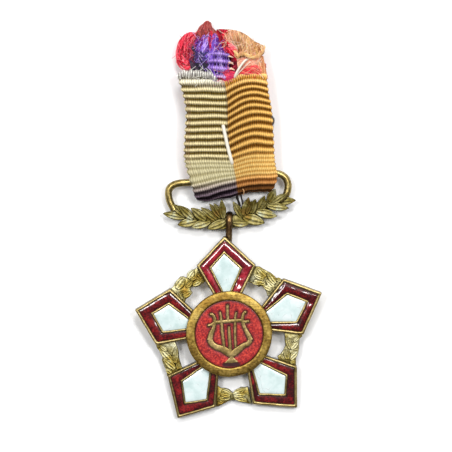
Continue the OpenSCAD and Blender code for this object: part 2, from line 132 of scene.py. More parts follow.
# Struck and soldered metal: bright on top, drawn dark down its sides as painted shade, and dark in the hollows and
# where parts close in, patina in the hollows and painted shade between parts.
def metalMaterial(name, worn, toned, patinaAndShade, roughness, hollowReach=0.35, sides=(0.1, 0.65), scratch=0.3,
        grain="#b8b8b8", patches=None):
    material, tree, shader, place = startMaterial(name, Metallic=1.0)
    cloud = addNode(tree, "TexNoise", {"Vector": place, "Scale": perMm(1.6), "Detail": 5.0, "Roughness": 0.62})
    speck = addNode(tree, "TexNoise", {"Vector": place, "Scale": perMm(0.22), "Detail": 3.0})
    stops = [(0.38, toned), (0.62, worn)]
    if patches:  # a ruddy tone below and a silvery one above
        stops = [(0.34, patches[0]), (0.44, toned), (0.56, worn), (0.68, patches[1])]
    patch = addNode(tree, "ValToRGB", {0: cloud}, stops)
    fine = addNode(tree, "ValToRGB", {0: speck}, [(0.32, grain), (0.68, "#ffffff")])
    skin = addNode(tree, "Mix", {0: 0.75, 6: patch, 7: fine}, data_type="RGBA", blend_type="MULTIPLY")
    # patina and painted shade: darker where other metal closes in, in hollows and between parts
    shelter = addNode(tree, "AmbientOcclusion", {"Distance": hollowReach * mm}, samples=6)
    open1 = addNode(tree, "MapRange", {"Value": shelter.outputs["AO"], "From Min": 0.45, "From Max": 0.95})
    # painted shade: darker down the sides, the more the surface turns from upright
    facing = addNode(tree, "TexCoord").outputs["Normal"]
    upward = addNode(tree, "SeparateXYZ", {0: facing})
    flatness = addNode(tree, "Math", {0: upward.outputs["Z"]}, operation="ABSOLUTE")
    clearOfSideShade = addNode(tree, "MapRange", {"Value": flatness, "From Min": sides[0], "From Max": sides[1]})
    # the shade attribute darkens it further where a piece sets it
    shade = addNode(tree, "Attribute", attribute_name="shade")
    open3 = addNode(tree, "Math", {0: 1.0, 1: shade.outputs["Fac"]}, operation="SUBTRACT")
    bare = addNode(tree, "Math", {0: open1, 1: clearOfSideShade}, operation="MULTIPLY")
    brightening = addNode(tree, "Math", {0: bare, 1: open3}, operation="MULTIPLY")
    toneOver = addNode(tree, "Mix", {0: brightening, 6: hexColour(patinaAndShade), 7: skin}, data_type="RGBA")
    rough = addNode(tree, "MapRange", {"Value": speck, "To Min": roughness - 0.1, "To Max": roughness + 0.14})
    stretch = addNode(tree, "Mapping", {"Vector": place, "Rotation": (0.0, 0.0, 0.7), "Scale": (1.0, 9.0, 1.0)})
    lines = addNode(tree, "TexNoise", {"Vector": stretch, "Scale": perMm(0.9), "Detail": 4.0})
    uneven = addNode(tree, "Math", {0: lines, 1: speck}, operation="ADD")
    bump = addNode(tree, "Bump", {"Strength": scratch, "Distance": 0.03 * mm, "Height": uneven})
    setInputs(tree, shader, {"Base Color": toneOver, "Roughness": rough, "Normal": bump})
    return material


# Fired translucent enamel: deep colour, grainy, under a glassy skin, drawn dark against the metal as painted shade
# where it meets the metal walls.
def enamelMaterial(name, deep, middle, bright, edge, roughness=0.16, coat=0.8, pool=0.5, cloudy=0.5):
    material, tree, shader, place = startMaterial(
        name, Roughness=roughness, IOR=1.52, Coat_Weight=coat, Coat_Roughness=0.06, Specular_IOR_Level=0.5)
    cloud = addNode(tree, "TexNoise", {"Vector": place, "Scale": perMm(1.3), "Detail": 3.0})
    grain = addNode(tree, "TexNoise", {"Vector": place, "Scale": perMm(0.19), "Detail": 2.0, "Roughness": 0.7})
    half = addNode(tree, "Mix", {0: cloudy, 2: grain, 3: cloud})
    body = addNode(tree, "ValToRGB", {0: half}, [(0.4, deep), (0.5, middle), (0.6, bright)])
    patch = addNode(tree, "TexNoise", {"Vector": place, "Scale": perMm(3.4), "Detail": 2.0})
    thick = addNode(tree, "MapRange", {"Value": patch, "From Min": 0.46, "From Max": 0.64, "To Max": pool})
    pooled = addNode(tree, "Mix", {0: thick, 6: body, 7: hexColour(edge)}, data_type="RGBA")
    # painted shade: the shade attribute darkens it towards the metal
    border = addNode(tree, "Attribute", attribute_name="shade")
    colour = addNode(tree, "Mix", {0: border.outputs["Fac"], 6: pooled, 7: hexColour(edge)}, data_type="RGBA")
    ripple = addNode(tree, "TexNoise", {"Vector": place, "Scale": perMm(0.55), "Detail": 2.0})
    bump = addNode(tree, "Bump", {"Strength": 0.35, "Distance": 0.03 * mm, "Height": ripple})
    setInputs(tree, shader, {"Base Color": colour, "Normal": bump, "Coat Normal": bump})
    return material


# Opaque white enamel: a cool milk white with hair cracks, a little dirt in them, and pin specks.
def whiteEnamelMaterial():
    material, tree, shader, place = startMaterial(
        "fired white enamel", Roughness=0.2, IOR=1.5, Coat_Weight=0.5, Coat_Roughness=0.08)
    cloud = addNode(tree, "TexNoise", {"Vector": place, "Scale": perMm(1.1), "Detail": 4.0})
    milk = addNode(tree, "ValToRGB", {0: cloud}, [(0.34, "#c4d8d6"), (0.52, "#d6e6e5"), (0.7, "#e3ebeb")])
    shake = addNode(tree, "TexNoise", {"Vector": place, "Scale": perMm(0.9), "Detail": 2.0})
    drift = addNode(tree, "VectorMath", {0: shake.outputs["Color"], "Scale": 0.5 * mm}, operation="SCALE")
    warped = addNode(tree, "VectorMath", {0: place, 1: drift}, operation="ADD")
    cells = addNode(tree, "TexVoronoi", {"Vector": warped, "Scale": perMm(1.25)}, feature="DISTANCE_TO_EDGE")
    hair = addNode(tree, "MapRange", {"Value": cells, "From Max": 0.035, "To Min": 0.5, "To Max": 0.0})
    where = addNode(tree, "MapRange", {"Value": cloud, "From Min": 0.5, "From Max": 0.62})
    crack = addNode(tree, "Math", {0: hair, 1: where}, operation="MULTIPLY")
    lined = addNode(tree, "Mix", {0: crack, 6: milk, 7: hexColour("#9aa5a0")}, data_type="RGBA")
    dots = addNode(tree, "TexVoronoi", {"Vector": place, "Scale": perMm(0.8)})
    dot = addNode(tree, "MapRange", {"Value": dots, "From Min": 0.05, "From Max": 0.1, "To Min": 0.5, "To Max": 0.0})
    specked = addNode(tree, "Mix", {0: dot, 6: lined, 7: hexColour("#8d948c")}, data_type="RGBA")
    # painted shade: the shade attribute darkens it towards the metal line
    border = addNode(tree, "Attribute", attribute_name="shade")
    colour = addNode(tree, "Mix", {0: border.outputs["Fac"], 6: specked, 7: hexColour("#a9a98c")}, data_type="RGBA")
    ripple = addNode(tree, "TexNoise", {"Vector": place, "Scale": perMm(0.7), "Detail": 3.0})
    bump = addNode(tree, "Bump", {"Strength": 0.3, "Distance": 0.03 * mm, "Height": ripple})
    setInputs(tree, shader, {"Base Color": colour, "Normal": bump})
    return material


# Ribbed silk: dyed warp threads close over thick ribs. The dye comes with the mesh, the threads from its UV map.
# Silk warp is finer than threadPitch; it is drawn this coarse so that single threads show.
def clothMaterial(name, threadPitch=0.22, depth=0.9):
    material, tree, shader, place = startMaterial(
        name, Roughness=0.66, Sheen_Weight=0.02, Sheen_Roughness=0.4, Sheen_Tint=hexColour("#fff2d8"),
        Specular_IOR_Level=0.06)
    dye = addNode(tree, "Attribute", attribute_name="dye")
    weave = addNode(tree, "UVMap", uv_map="weave")
    bend = addNode(tree, "TexNoise", {"Vector": place, "Scale": perMm(0.5), "Detail": 2.0})
    across = addNode(tree, "SeparateXYZ", {0: weave})
    slip = addNode(tree, "Math", {0: bend, 1: 0.3, 2: across.outputs["X"]}, operation="MULTIPLY_ADD")
    turns = addNode(tree, "Math", {0: slip, 1: 2 * math.pi / threadPitch}, operation="MULTIPLY")
    wave = addNode(tree, "Math", {0: turns}, operation="SINE")
    height = addNode(tree, "MapRange", {"Value": wave, "From Min": -1.0, "From Max": 1.0})
    streak = addNode(tree, "Mapping", {"Vector": weave, "Scale": (6.0, 1.1, 1.0)})
    fleck = addNode(tree, "TexNoise", {"Vector": streak, "Scale": 1.0, "Detail": 3.0, "Roughness": 0.65})
    tone = addNode(tree, "Math", {0: fleck, 1: 0.75, 2: 0.66}, operation="MULTIPLY_ADD")
    # the threads part in the grooves and close on the ribs
    rib = addNode(tree, "Attribute", attribute_name="rib")
    parted = addNode(tree, "Math", {0: rib.outputs["Fac"], 1: -0.5 * depth, 2: depth}, operation="MULTIPLY_ADD")
    below = addNode(tree, "Math", {0: 1.0, 1: height}, operation="SUBTRACT")
    lost = addNode(tree, "Math", {0: below, 1: parted}, operation="MULTIPLY")
    gap = addNode(tree, "Math", {0: 1.12, 1: lost}, operation="SUBTRACT")
    light = addNode(tree, "Math", {0: tone, 1: gap}, operation="MULTIPLY")
    shaded = addNode(tree, "VectorMath", {0: dye, "Scale": light}, operation="SCALE")
    bump = addNode(tree, "Bump", {"Strength": 0.7, "Distance": 0.05 * mm, "Height": height})
    setInputs(tree, shader, {"Base Color": shaded, "Normal": bump})
    return material


# Loose threads: each has its own tint along a ramp, with flecks along it, and catches the light.
def threadMaterial(name, stops):
    material, tree, shader, place = startMaterial(
        name, Roughness=0.5, Sheen_Weight=0.1, Sheen_Roughness=0.35, Specular_IOR_Level=0.14)
    tint = addNode(tree, "Attribute", attribute_name="tint")
    fleck = addNode(tree, "TexNoise", {"Vector": place, "Scale": perMm(0.35), "Detail": 3.0})
    shift = addNode(tree, "Math", {0: fleck, 1: 0.5, 2: tint.outputs["Fac"]}, operation="MULTIPLY_ADD")
    centred = addNode(tree, "Math", {0: shift, 1: 0.25}, operation="SUBTRACT")
    colour = addNode(tree, "ValToRGB", {0: centred}, stops)
    setInputs(tree, shader, {"Base Color": colour})
    return material


antiqueBrass = metalMaterial("antiqued struck brass", "#d8c082", "#a8925a", "#2e2614", 0.34, hollowReach=0.22,
    sides=(0.0, 0.5))
medallionBrass = metalMaterial("rubbed brass", "#c6a656", "#9e8040", "#483812", 0.44, hollowReach=0.12,
    sides=(-0.3, 0.3), scratch=0.6, grain="#8e8670", patches=("#a07c36", "#ccb066"))
lyreBrass = metalMaterial("dull brass strokes", "#c4aa72", "#9c8450", "#5c4420", 0.42, hollowReach=0.06,
    sides=(-0.3, 0.3))
laurelBrass = metalMaterial("olive toned cast brass", "#b4a972", "#80763c", "#3a3210", 0.46, hollowReach=0.18,
    sides=(-0.1, 0.5), scratch=0.5, grain="#a49c8c", patches=("#8c7038", "#bec6ae"))
linkBrass = metalMaterial("worn silvered brass", "#dcd4a2", "#aa9b54", "#4e4418", 0.4, hollowReach=0.14,
    sides=(-0.2, 0.4), scratch=0.5, grain="#aca48e", patches=("#ac8a3c", "#dfe0c4"))
wireBrass = metalMaterial("drawn brass wire", "#c8b272", "#887440", "#3a3014", 0.32, sides=(-0.2, 0.55))
ringBronze = metalMaterial("dark toned bronze wire", "#dcba7c", "#846440", "#1c1209", 0.3, sides=(0.2, 1.0))
pinSteel = metalMaterial("dull steel wire", "#77756c", "#4c4a43", "#16140f", 0.4)
rubyEnamel = enamelMaterial("translucent ruby enamel", "#34060b", "#560c12", "#92201f", "#200306", coat=0.45,
    pool=0.4)
topEnamel = enamelMaterial("lighter translucent red enamel", "#70121c", "#981a26", "#c03444", "#42101e")
redEnamel = enamelMaterial("translucent red enamel", "#7e1419", "#a82022", "#d44434", "#34060a", roughness=0.34,
    coat=0.15, pool=0.15, cloudy=0.22)
whiteEnamel = whiteEnamelMaterial()
ribbonSilk = clothMaterial("ribbed silk ribbon")
frayedSilk = clothMaterial("crumpled ribbed silk", threadPitch=0.2, depth=0.75)
redThreads = threadMaterial("loose red silk", [(0.0, "#48060f"), (0.3, "#c80c2a"), (0.6, "#ff3050"),
    (1.0, "#ffb4ba")])
rustThreads = threadMaterial("red brown silk", [(0.0, "#541618"), (0.4, "#88302c"), (0.75, "#b4524c"),
    (1.0, "#dc8c80")])
pinkThreads = threadMaterial("bled pink silk", [(0.0, "#a83078"), (0.35, "#cc2c50"), (0.7, "#ec4c64"),
    (1.0, "#ff98a8")])
violetThreads = threadMaterial("loose violet silk", [(0.0, "#7c103c"), (0.14, "#4c1868"), (0.38, "#643cac"),
    (0.68, "#986ce2"), (1.0, "#dcc0fc")])
slateThreads = threadMaterial("soiled slate silk", [(0.0, "#16181e"), (0.4, "#2c2c38"), (0.65, "#42304e"),
    (0.88, "#5e3a50"), (1.0, "#8e7888")])
duskThreads = threadMaterial("violet silk gone slate", [(0.0, "#201e36"), (0.4, "#3c3868"), (0.75, "#6054a0"),
    (1.0, "#968ac4")])
goldThreads = threadMaterial("faded gold silk", [(0.0, "#b4743e"), (0.35, "#dc9a74"), (0.65, "#eebc86"),
    (0.85, "#ecc478"), (1.0, "#fae6b4")])
peachThreads = threadMaterial("bled peach silk", [(0.0, "#cc4c3c"), (0.3, "#e48870"), (0.65, "#f4ba98"),
    (1.0, "#fff0dc")])
paleThreads = threadMaterial("bleached silk", [(0.0, "#6c6264"), (0.35, "#aaa29c"), (0.7, "#e6e4da"),
    (1.0, "#fbfbf0")])
whiteThread = threadMaterial("white sewing cotton", [(0.0, "#b8b0a0"), (0.4, "#d8d2c4"), (1.0, "#ebe6d8")])
shadowedCottonThreads = threadMaterial("white sewing cotton drawn dark for painted shadow", [(0.0, "#0e0c0a"), (0.5, "#241f1a"), (1.0, "#4a4238")])
print("materials made")


# Mesh helpers. A part is points in mm, faces, and values kept at the points.

def loft(rings, loop=False):
    rings = np.asarray(rings, float)
    count, sides = rings.shape[:2]
    faces = []
    for i in range(count if loop else count - 1):
        low, high = i * sides, (i + 1) % count * sides
        faces += [(low + j, low + (j + 1) % sides, high + (j + 1) % sides, high + j) for j in range(sides)]
    if not loop:
        faces.append(tuple(range(sides))[::-1])
        faces.append(tuple(range((count - 1) * sides, count * sides)))
    return {"points": rings.reshape(-1, 3), "faces": faces}


def joined(parts):
    names = sorted({key for part in parts for key in part if key not in ("points", "faces")})
    whole = {"points": np.vstack([part["points"] for part in parts]), "faces": []}
    start = 0
    for part in parts:
        whole["faces"] += [tuple(v + start for v in face) for face in part["faces"]]
        start += len(part["points"])
    for key in names:
        width = next(np.shape(part[key])[1:] for part in parts if key in part)
        whole[key] = np.concatenate([np.asarray(part.get(key, np.zeros((len(part["points"]), *width))))
            for part in parts])
    return whole


def placed(part, matrix):
    turn, shift = np.array(matrix)[:3, :3], np.array(matrix)[:3, 3]
    return {**part, "points": part["points"] @ turn.T + shift}


def noiseAt(points, size, seed):
    offset = Vector((seed * 7.3, seed * 3.1, seed * 11.7))
    flat = np.asarray(points).reshape(-1, 3)
    return np.array([noise.noise_vector(Vector(p) / size + offset) for p in flat]).reshape(np.shape(points))


def keepAtPoints(mesh, name, kind, values):
    field = {"FLOAT": "value", "FLOAT_VECTOR": "vector", "FLOAT_COLOR": "color"}[kind]
    mesh.attributes.new(name, kind, "POINT").data.foreach_set(field, np.asarray(values, np.float32).ravel())


def makeMesh(name, part, smoothAngle=None):
    mesh = bpy.data.meshes.new(name)
    mesh.from_pydata((part["points"] * mm).tolist(), [], part["faces"])
    if "shade" in part:
        keepAtPoints(mesh, "shade", "FLOAT", part["shade"])
    if "dye" in part:
        keepAtPoints(mesh, "dye", "FLOAT_COLOR", np.column_stack([part["dye"], np.ones(len(part["points"]))]))
    if "rib" in part:
        keepAtPoints(mesh, "rib", "FLOAT", part["rib"])
    if "weave" in part:  # millimetres across and along the cloth
        corners = np.zeros(len(mesh.loops), np.int32)
        mesh.loops.foreach_get("vertex_index", corners)
        flat = np.asarray(part["weave"], np.float32)[corners]
        mesh.uv_layers.new(name="weave").data.foreach_set("uv", flat.ravel())
    work = bmesh.new()
    work.from_mesh(mesh)
    bmesh.ops.remove_doubles(work, verts=work.verts, dist=0.0004 * mm)
    bmesh.ops.recalc_face_normals(work, faces=work.faces)
    if work.calc_volume(signed=True) < 0:  # a deeply crumpled shell can be taken for its own inside
        bmesh.ops.reverse_faces(work, faces=work.faces)
    work.to_mesh(mesh)
    work.free()
    mesh.polygons.foreach_set("use_smooth", [True] * len(mesh.polygons))
    if smoothAngle:
        mesh.set_sharp_from_angle(angle=math.radians(smoothAngle))
    return mesh


def settle(piece, nodes=()):
    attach(piece, "root")
    if nodes:
        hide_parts(*nodes)
    return piece


def makePiece(name, part, material, nodes=(), smoothAngle=None):
    piece = addObject(name, makeMesh(name, part, smoothAngle))
    piece.data.materials.append(material)
    return settle(piece, nodes)


def insetOutline(corners, by):
    corners = np.asarray(corners, float)
    before, after = np.roll(corners, 1, 0), np.roll(corners, -1, 0)
    moved = []
    for a, b, c in zip(before, corners, after):
        d, e = (b - a) / np.linalg.norm(b - a), (c - b) / np.linalg.norm(c - b)
        p, q = b + by * np.array([-d[1], d[0]]), b + by * np.array([-e[1], e[0]])
        t = ((q[0] - p[0]) * e[1] - (q[1] - p[1]) * e[0]) / (d[0] * e[1] - d[1] * e[0])
        moved.append(p + t * d)
    return np.array(moved)


def roundedOutline(corners, cut, sideSteps=14, cornerSteps=5):
    corners = np.asarray(corners, float)
    before, after = np.roll(corners, 1, 0), np.roll(corners, -1, 0)
    points = []
    for a, b, c in zip(before, corners, after):
        start = b + (a - b) / np.linalg.norm(a - b) * cut
        end = b + (c - b) / np.linalg.norm(c - b) * cut
        for k in range(cornerSteps + 1):
            t = k / cornerSteps
            points.append((1 - t) ** 2 * start + 2 * t * (1 - t) * b + t * t * end)
        nextStart = c + (b - c) / np.linalg.norm(b - c) * cut
        points += [end + (nextStart - end) * k / sideSteps for k in range(1, sideSteps)]
    return np.array(points)


def smoothStep(value, low, high):
    t = np.clip((value - low) / (high - low), 0, 1)
    return t * t * (3 - 2 * t)


def atHeight(outline, z):
    return np.column_stack([outline[:, :2], np.broadcast_to(z, len(outline))])


def smoothPath(points, steps):
    points = np.asarray(points, float)
    last = len(points) - 1
    out = []
    for i in range(last):
        a, b, c, d = points[max(i - 1, 0)], points[i], points[i + 1], points[min(i + 2, last)]
        for k in range(steps):
            t = k / steps
            square, cube = 2 * a - 5 * b + 4 * c - d, 3 * b - a - 3 * c + d
            out.append(0.5 * (2 * b + (c - a) * t + square * t ** 2 + cube * t ** 3))
    return np.array(out + [points[last]])


def photoPath(places, steps):
    return smoothPath([fromPhoto(*place) for place in places], steps)


def frames(path, up=(0, 0, 1), loop=False):
    path = np.asarray(path, float)
    if loop:
        along = np.roll(path, -1, 0) - np.roll(path, 1, 0)
    else:
        along = np.gradient(path, axis=0)
    along /= np.linalg.norm(along, axis=1)[:, None]
    side = np.cross(along, up)
    side /= np.linalg.norm(side, axis=1)[:, None]
    return side, np.cross(side, along)


def tube(path, halfWidth, halfHeight, sides=14, up=(0, 0, 1), loop=False, square=1.0):
    path = np.asarray(path, float)
    side, lift = frames(path, up, loop)
    angles = 2 * np.pi * np.arange(sides) / sides
    width = np.broadcast_to(halfWidth, len(path))[:, None, None]
    height = np.broadcast_to(halfHeight, len(path))[:, None, None]
    across, over = [np.sign(v) * np.abs(v) ** square for v in (np.cos(angles), np.sin(angles))]
    rings = (path[:, None] + across[None, :, None] * width * side[:, None]
        + over[None, :, None] * height * lift[:, None])
    return loft(rings, loop=loop)


# Geometry node trees

def startTree(name, *numbers):
    tree = bpy.data.node_groups.new(name, "GeometryNodeTree")
    tree.interface.new_socket("Geometry", in_out="INPUT", socket_type="NodeSocketGeometry")
    for label, kind in numbers:
        tree.interface.new_socket(label, in_out="INPUT", socket_type=kind)
    tree.interface.new_socket("Geometry", in_out="OUTPUT", socket_type="NodeSocketGeometry")
    return tree, addNode(tree, "NodeGroupInput").outputs


def endTree(tree, geometry, material):
    real = addNode(tree, "GeometryNodeRealizeInstances", {"Geometry": geometry})
    finish = addNode(tree, "GeometryNodeSetMaterial", {"Geometry": real, "Material": material})
    addNode(tree, "NodeGroupOutput", {"Geometry": finish})
    return tree


# Threads along paths: every chain of edges becomes a round thread as thick as its points say.
def makeThreadTree():
    tree, given = startTree("threads along paths", ("Sides", "NodeSocketInt"), ("Thickness", "NodeSocketFloat"),
        ("Material", "NodeSocketMaterial"))
    lines = addNode(tree, "GeometryNodeMeshToCurve", {"Mesh": given["Geometry"]})
    thick = addNode(tree, "GeometryNodeInputNamedAttribute", {"Name": "thick"}, data_type="FLOAT")
    scaled = addNode(tree, "Math", {0: thick, 1: given["Thickness"]}, operation="MULTIPLY")
    sized = addNode(tree, "GeometryNodeSetCurveRadius", {"Curve": lines, "Radius": scaled})
    circle = addNode(tree, "GeometryNodeCurvePrimitiveCircle", {"Resolution": given["Sides"], "Radius": 1.0})
    skin = addNode(tree, "GeometryNodeCurveToMesh", {"Curve": sized, "Profile Curve": circle, "Fill Caps": True})
    if "Scale" in skin.inputs:
        setInputs(tree, skin, {"Scale": scaled})
    return endTree(tree, skin, given["Material"])


# Leaves of a spray: one leaf is repeated on points that hold its turn and size.
def makeLeafTree():
    tree, given = startTree("leaves on points", ("Leaf", "NodeSocketObject"), ("Size", "NodeSocketFloat"),
        ("Material", "NodeSocketMaterial"))
    leaf = addNode(tree, "GeometryNodeObjectInfo", {"Object": given["Leaf"], "As Instance": True})
    turn = addNode(tree, "GeometryNodeInputNamedAttribute", {"Name": "turn"}, data_type="FLOAT_VECTOR")
    size = addNode(tree, "GeometryNodeInputNamedAttribute", {"Name": "size"}, data_type="FLOAT_VECTOR")
    scaled = addNode(tree, "VectorMath", {0: size, "Scale": given["Size"]}, operation="SCALE")
    points = addNode(tree, "GeometryNodeInstanceOnPoints", {"Points": given["Geometry"],
        "Instance": leaf.outputs["Geometry"], "Rotation": turn, "Scale": scaled})
    return endTree(tree, points, given["Material"])


def runTree(holder, tree, **values):
    modifier = holder.modifiers.new("build", "NODES")
    modifier.node_group = tree
    for item in tree.interface.items_tree:
        if item.in_out == "INPUT" and item.name in values:
            modifier[item.identifier] = values[item.name]
    bpy.context.view_layer.update()
    evaluated = holder.evaluated_get(bpy.context.evaluated_depsgraph_get())
    mesh = bpy.data.meshes.new_from_object(evaluated)
    holder.modifiers.remove(modifier)
    holder.data = mesh
    mesh.polygons.foreach_set("use_smooth", [True] * len(mesh.polygons))
    return holder


threadTree = makeThreadTree()
leafTree = makeLeafTree()


def threadPiece(name, strands, material, sides=6):
    points, edges, thick, tint = [], [], [], []
    for path, radius, shade in strands:
        start = len(points)
        points += (np.asarray(path) * mm).tolist()
        edges += [(start + i, start + i + 1) for i in range(len(path) - 1)]
        thick += (np.broadcast_to(radius, len(path)) * mm).tolist()
        tint += [float(shade)] * len(path)
    mesh = bpy.data.meshes.new(name)
    mesh.from_pydata(points, edges, [])
    keepAtPoints(mesh, "thick", "FLOAT", thick)
    keepAtPoints(mesh, "tint", "FLOAT", tint)
    piece = addObject(name, mesh)
    runTree(piece, threadTree, Sides=sides, Thickness=1.0, Material=material)
    return settle(piece)


# One struck laurel leaf along +X, 1 long, 1 wide and 1 high, with a vein and two swelling halves. Its rim lines and
# vein are drawn light, painted highlight; its body, outer edge and underside are drawn darker, painted shade.
leafForm = {"stations": 12, "belly": 0.88, "section": [(-1.0, 0.8, 0.62), (-0.82, 1.0, 0.12), (-0.6, 0.9, 0.3),
    (-0.36, 0.88, 0.34), (-0.14, 0.92, 0.28), (0.0, 1.0, 0.05), (0.14, 0.92, 0.28), (0.36, 0.88, 0.34),
    (0.6, 0.9, 0.3), (0.82, 1.0, 0.12), (1.0, 0.8, 0.62)]}


def leafPart():
    rings, shade = [], []
    count = leafForm["stations"]
    for i in range(count):
        t = 0.015 + 0.975 * i / (count - 1)
        half = 0.5 * math.sin(math.pi * t ** leafForm["belly"]) ** 0.76
        upper, lower = [], []
        for v, z, dark in leafForm["section"]:  # place across, height, and how dark it is drawn
            upper.append((t, v * half, 1 - (1 - z) * min(1, half * 2.6)))
            lower.append((t, v * half * 0.94, 0.0))
            shade.append(dark if 0.06 < t < 0.94 else 0.25)
        rings.append(upper + lower[::-1])
        shade += [0.6] * len(lower)
    part = loft(np.array(rings))
    part["shade"] = np.array(shade)
    return part


oneLeaf = leafPart()
oneLeaf["points"] = oneLeaf["points"] / mm  # the leaf is sized where it is placed
leafPattern = bpy.data.objects.new("leafPattern", makeMesh("leafPattern", oneLeaf))


def leafPiece(name, rows, material):
    # rows: base (x, y, z), turn about X, Y, Z in radians, then length, width and height, all in mm
    mesh = bpy.data.meshes.new(name)
    mesh.from_pydata([tuple(np.array(base) * mm) for base, turn, size in rows], [], [])
    keepAtPoints(mesh, "turn", "FLOAT_VECTOR", [turn for base, turn, size in rows])
    keepAtPoints(mesh, "size", "FLOAT_VECTOR", [size for base, turn, size in rows])
    piece = addObject(name, mesh)
    runTree(piece, leafTree, Leaf=leafPattern, Size=mm, Material=material)
    return settle(piece)


def leafRow(base, tip, width, height):
    base, tip = np.asarray(base, float), np.asarray(tip, float)
    d = tip - base
    flat = math.hypot(d[0], d[1])
    turn = (0.0, -math.atan2(d[2], flat), math.atan2(d[1], d[0]))
    return base, turn, (float(np.linalg.norm(d)), width, height)


# The star. Corner places are pixels: an arm's outline and the kite inside it, each from the tip
# counter-clockwise: tip, shoulder, foot, foot, shoulder.
star = {
    "centre": (0.29, -12.29), "turn": 4.7, "tipR": 10.9, "thick": 1.2, "leanHeight": 1.97, "staple": 9.15,
    "rim": 0.35, "line": 0.27, "hubR": 4.46, "footReach": 0.75,
    "enamelDrop": 0.03, "stapleHalf": 1.15, "stapleWire": 0.46, "stapleDrop": 1.0,
}
# how much darker each arm's metal is drawn, most on the lower arms
armDarkening = {"top": 0.0, "left": 0.16, "lowerLeft": 0.4, "lowerRight": 0.2, "right": 0.04}
# places where the enamel flowed aslant and shines: pixel x and y, radius in pixels, fall to the right and up
enamelSlants = {"top": [(242.8, 271.8, 4.6, 0.15, 0.19), (241.8, 278.6, 5.4, 0.17, 0.17),
    (240.2, 286.4, 4.8, 0.16, 0.18)], "right": [(316.4, 299.0, 3.2, 0.17, 0.14), (311.2, 303.6, 4.0, 0.15, 0.18),
    (313.4, 309.6, 3.4, 0.19, 0.16), (280.6, 287.2, 3.4, -0.17, 0.16), (275.0, 293.4, 3.8, -0.15, 0.19),
    (270.6, 299.4, 3.4, -0.18, 0.15)]}
# height of the enamel's dome and how flat its top is
enamelDome = {"top": (0.13, 2.0), "left": (0.06, 3.0), "lowerLeft": (0.03, 3.2), "lowerRight": (0.04, 3.2),
    "right": (0.13, 2.0)}
armCorners = {
    "top": [(224.5, 236.4), (196.5, 266.4), (212.6, 293.8), (242.8, 292.6), (256.0, 265.4)],
    "left": [(135.0, 310.2), (155.9, 345.2), (186.4, 339.8), (192.4, 309.6), (170.2, 288.8)],
    "lowerLeft": [(177.6, 418.8), (215.8, 407.6), (218.4, 377.8), (195.0, 362.6), (167.3, 375.8)],
    "lowerRight": [(297.6, 408.3), (297.0, 366.4), (267.0, 356.4), (247.6, 375.2), (252.7, 404.6)],
    "right": [(322.0, 293.0), (283.4, 278.8), (263.2, 304.6), (272.6, 331.4), (303.3, 335.2)],
}
kiteCorners = {
    "top": [(223.9, 250.8), (208.8, 268.2), (220.1, 290.2), (233.2, 289.6), (242.8, 268.0)],
    "left": [(150.8, 313.2), (162.0, 333.8), (186.6, 330.8), (188.5, 316.8), (169.0, 302.0)],
    "lowerLeft": [(183.8, 405.2), (208.3, 401.4), (211.4, 375.8), (198.2, 368.3), (180.1, 380.8)],
    "lowerRight": [(286.4, 397.0), (288.2, 375.1), (264.4, 363.2), (252.0, 373.3), (258.2, 395.8)],
    "right": [(308.9, 300.7), (287.0, 292.1), (267.0, 308.4), (270.8, 323.9), (297.6, 323.8)],
}
lowerTips = star["tipR"] * math.cos(math.radians(36))
starLean = math.atan(star["leanHeight"] / (star["staple"] + lowerTips))
starPlace = (Matrix.Translation((*star["centre"], 0)) @ Matrix.Rotation(math.radians(star["turn"]), 4, "Z")
    @ Matrix.Translation((0, -lowerTips, 0)) @ Matrix.Rotation(starLean, 4, "X")
    @ Matrix.Translation((0, lowerTips, 0)))


def onStar(px, py, z):
    # the point of the star's own frame, at height z, that the photograph shows at this pixel
    world = fromPhoto(px, py)
    turned = Matrix.Rotation(-math.radians(star["turn"]), 3, "Z") @ Vector(
        (world[0] - star["centre"][0], world[1] - star["centre"][1], 0))
    y = (turned.y + lowerTips + math.sin(starLean) * z) / math.cos(starLean) - lowerTips
    return np.array([turned.x, y])


def starOutline(places):
    corners = np.array([onStar(px, py, star["thick"]) for px, py in places])
    for foot, shoulder in ((2, 1), (3, 4)):  # its feet reach on under the medallion
        d = corners[foot] - corners[shoulder]
        corners[foot] += d / np.linalg.norm(d) * star["footReach"]
    return corners


def terraced(corners, steps, cut, seed, amount=0.03):
    # rings through insets of one outline, each (inset, height), with a hand-finished unevenness
    rings = np.array([atHeight(roundedOutline(insetOutline(corners, by), cut), z) for by, z in steps])
    shake = noiseAt(rings[0], 1.1, seed) * amount
    rings[:, :, :2] += shake[None, :, :2]
    rings[:, :, 2] += 0.4 * shake[None, :, 2] * (rings[:, :, 2] > 0.3)
    return rings


armShell = [(0.1, 0.0), (0.03, 0.03), (0.0, 0.12), (0.0, -0.17), (0.02, -0.07), (0.07, -0.015), (0.14, 0.0),
    (0.21, -0.015), (0.26, -0.06), (0.29, -0.12), (0.3, -0.4)]
lineShell = [(-1.0, -0.42), (-1.0, -0.1), (-0.8, -0.035), (-0.5, -0.01), (-0.2, -0.035), (0.0, -0.1), (0.0, -0.42)]


def armMetal(name, seed):
    t = star["thick"]
    outline = starOutline(armCorners[name])
    steps = [(by * star["rim"] / 0.3, z if k < 3 else t + z) for k, (by, z) in enumerate(armShell)]
    shell = loft(terraced(outline, steps, 0.14, seed))
    kite = starOutline(kiteCorners[name])
    line = [(-by * star["line"], t + z) for by, z in lineShell]
    wire = loft(terraced(kite, line, 0.1, seed + 20, 0.04), loop=True)
    part = joined([shell, wire])
    part["shade"] = np.full(len(part["points"]), armDarkening[name])
    return part


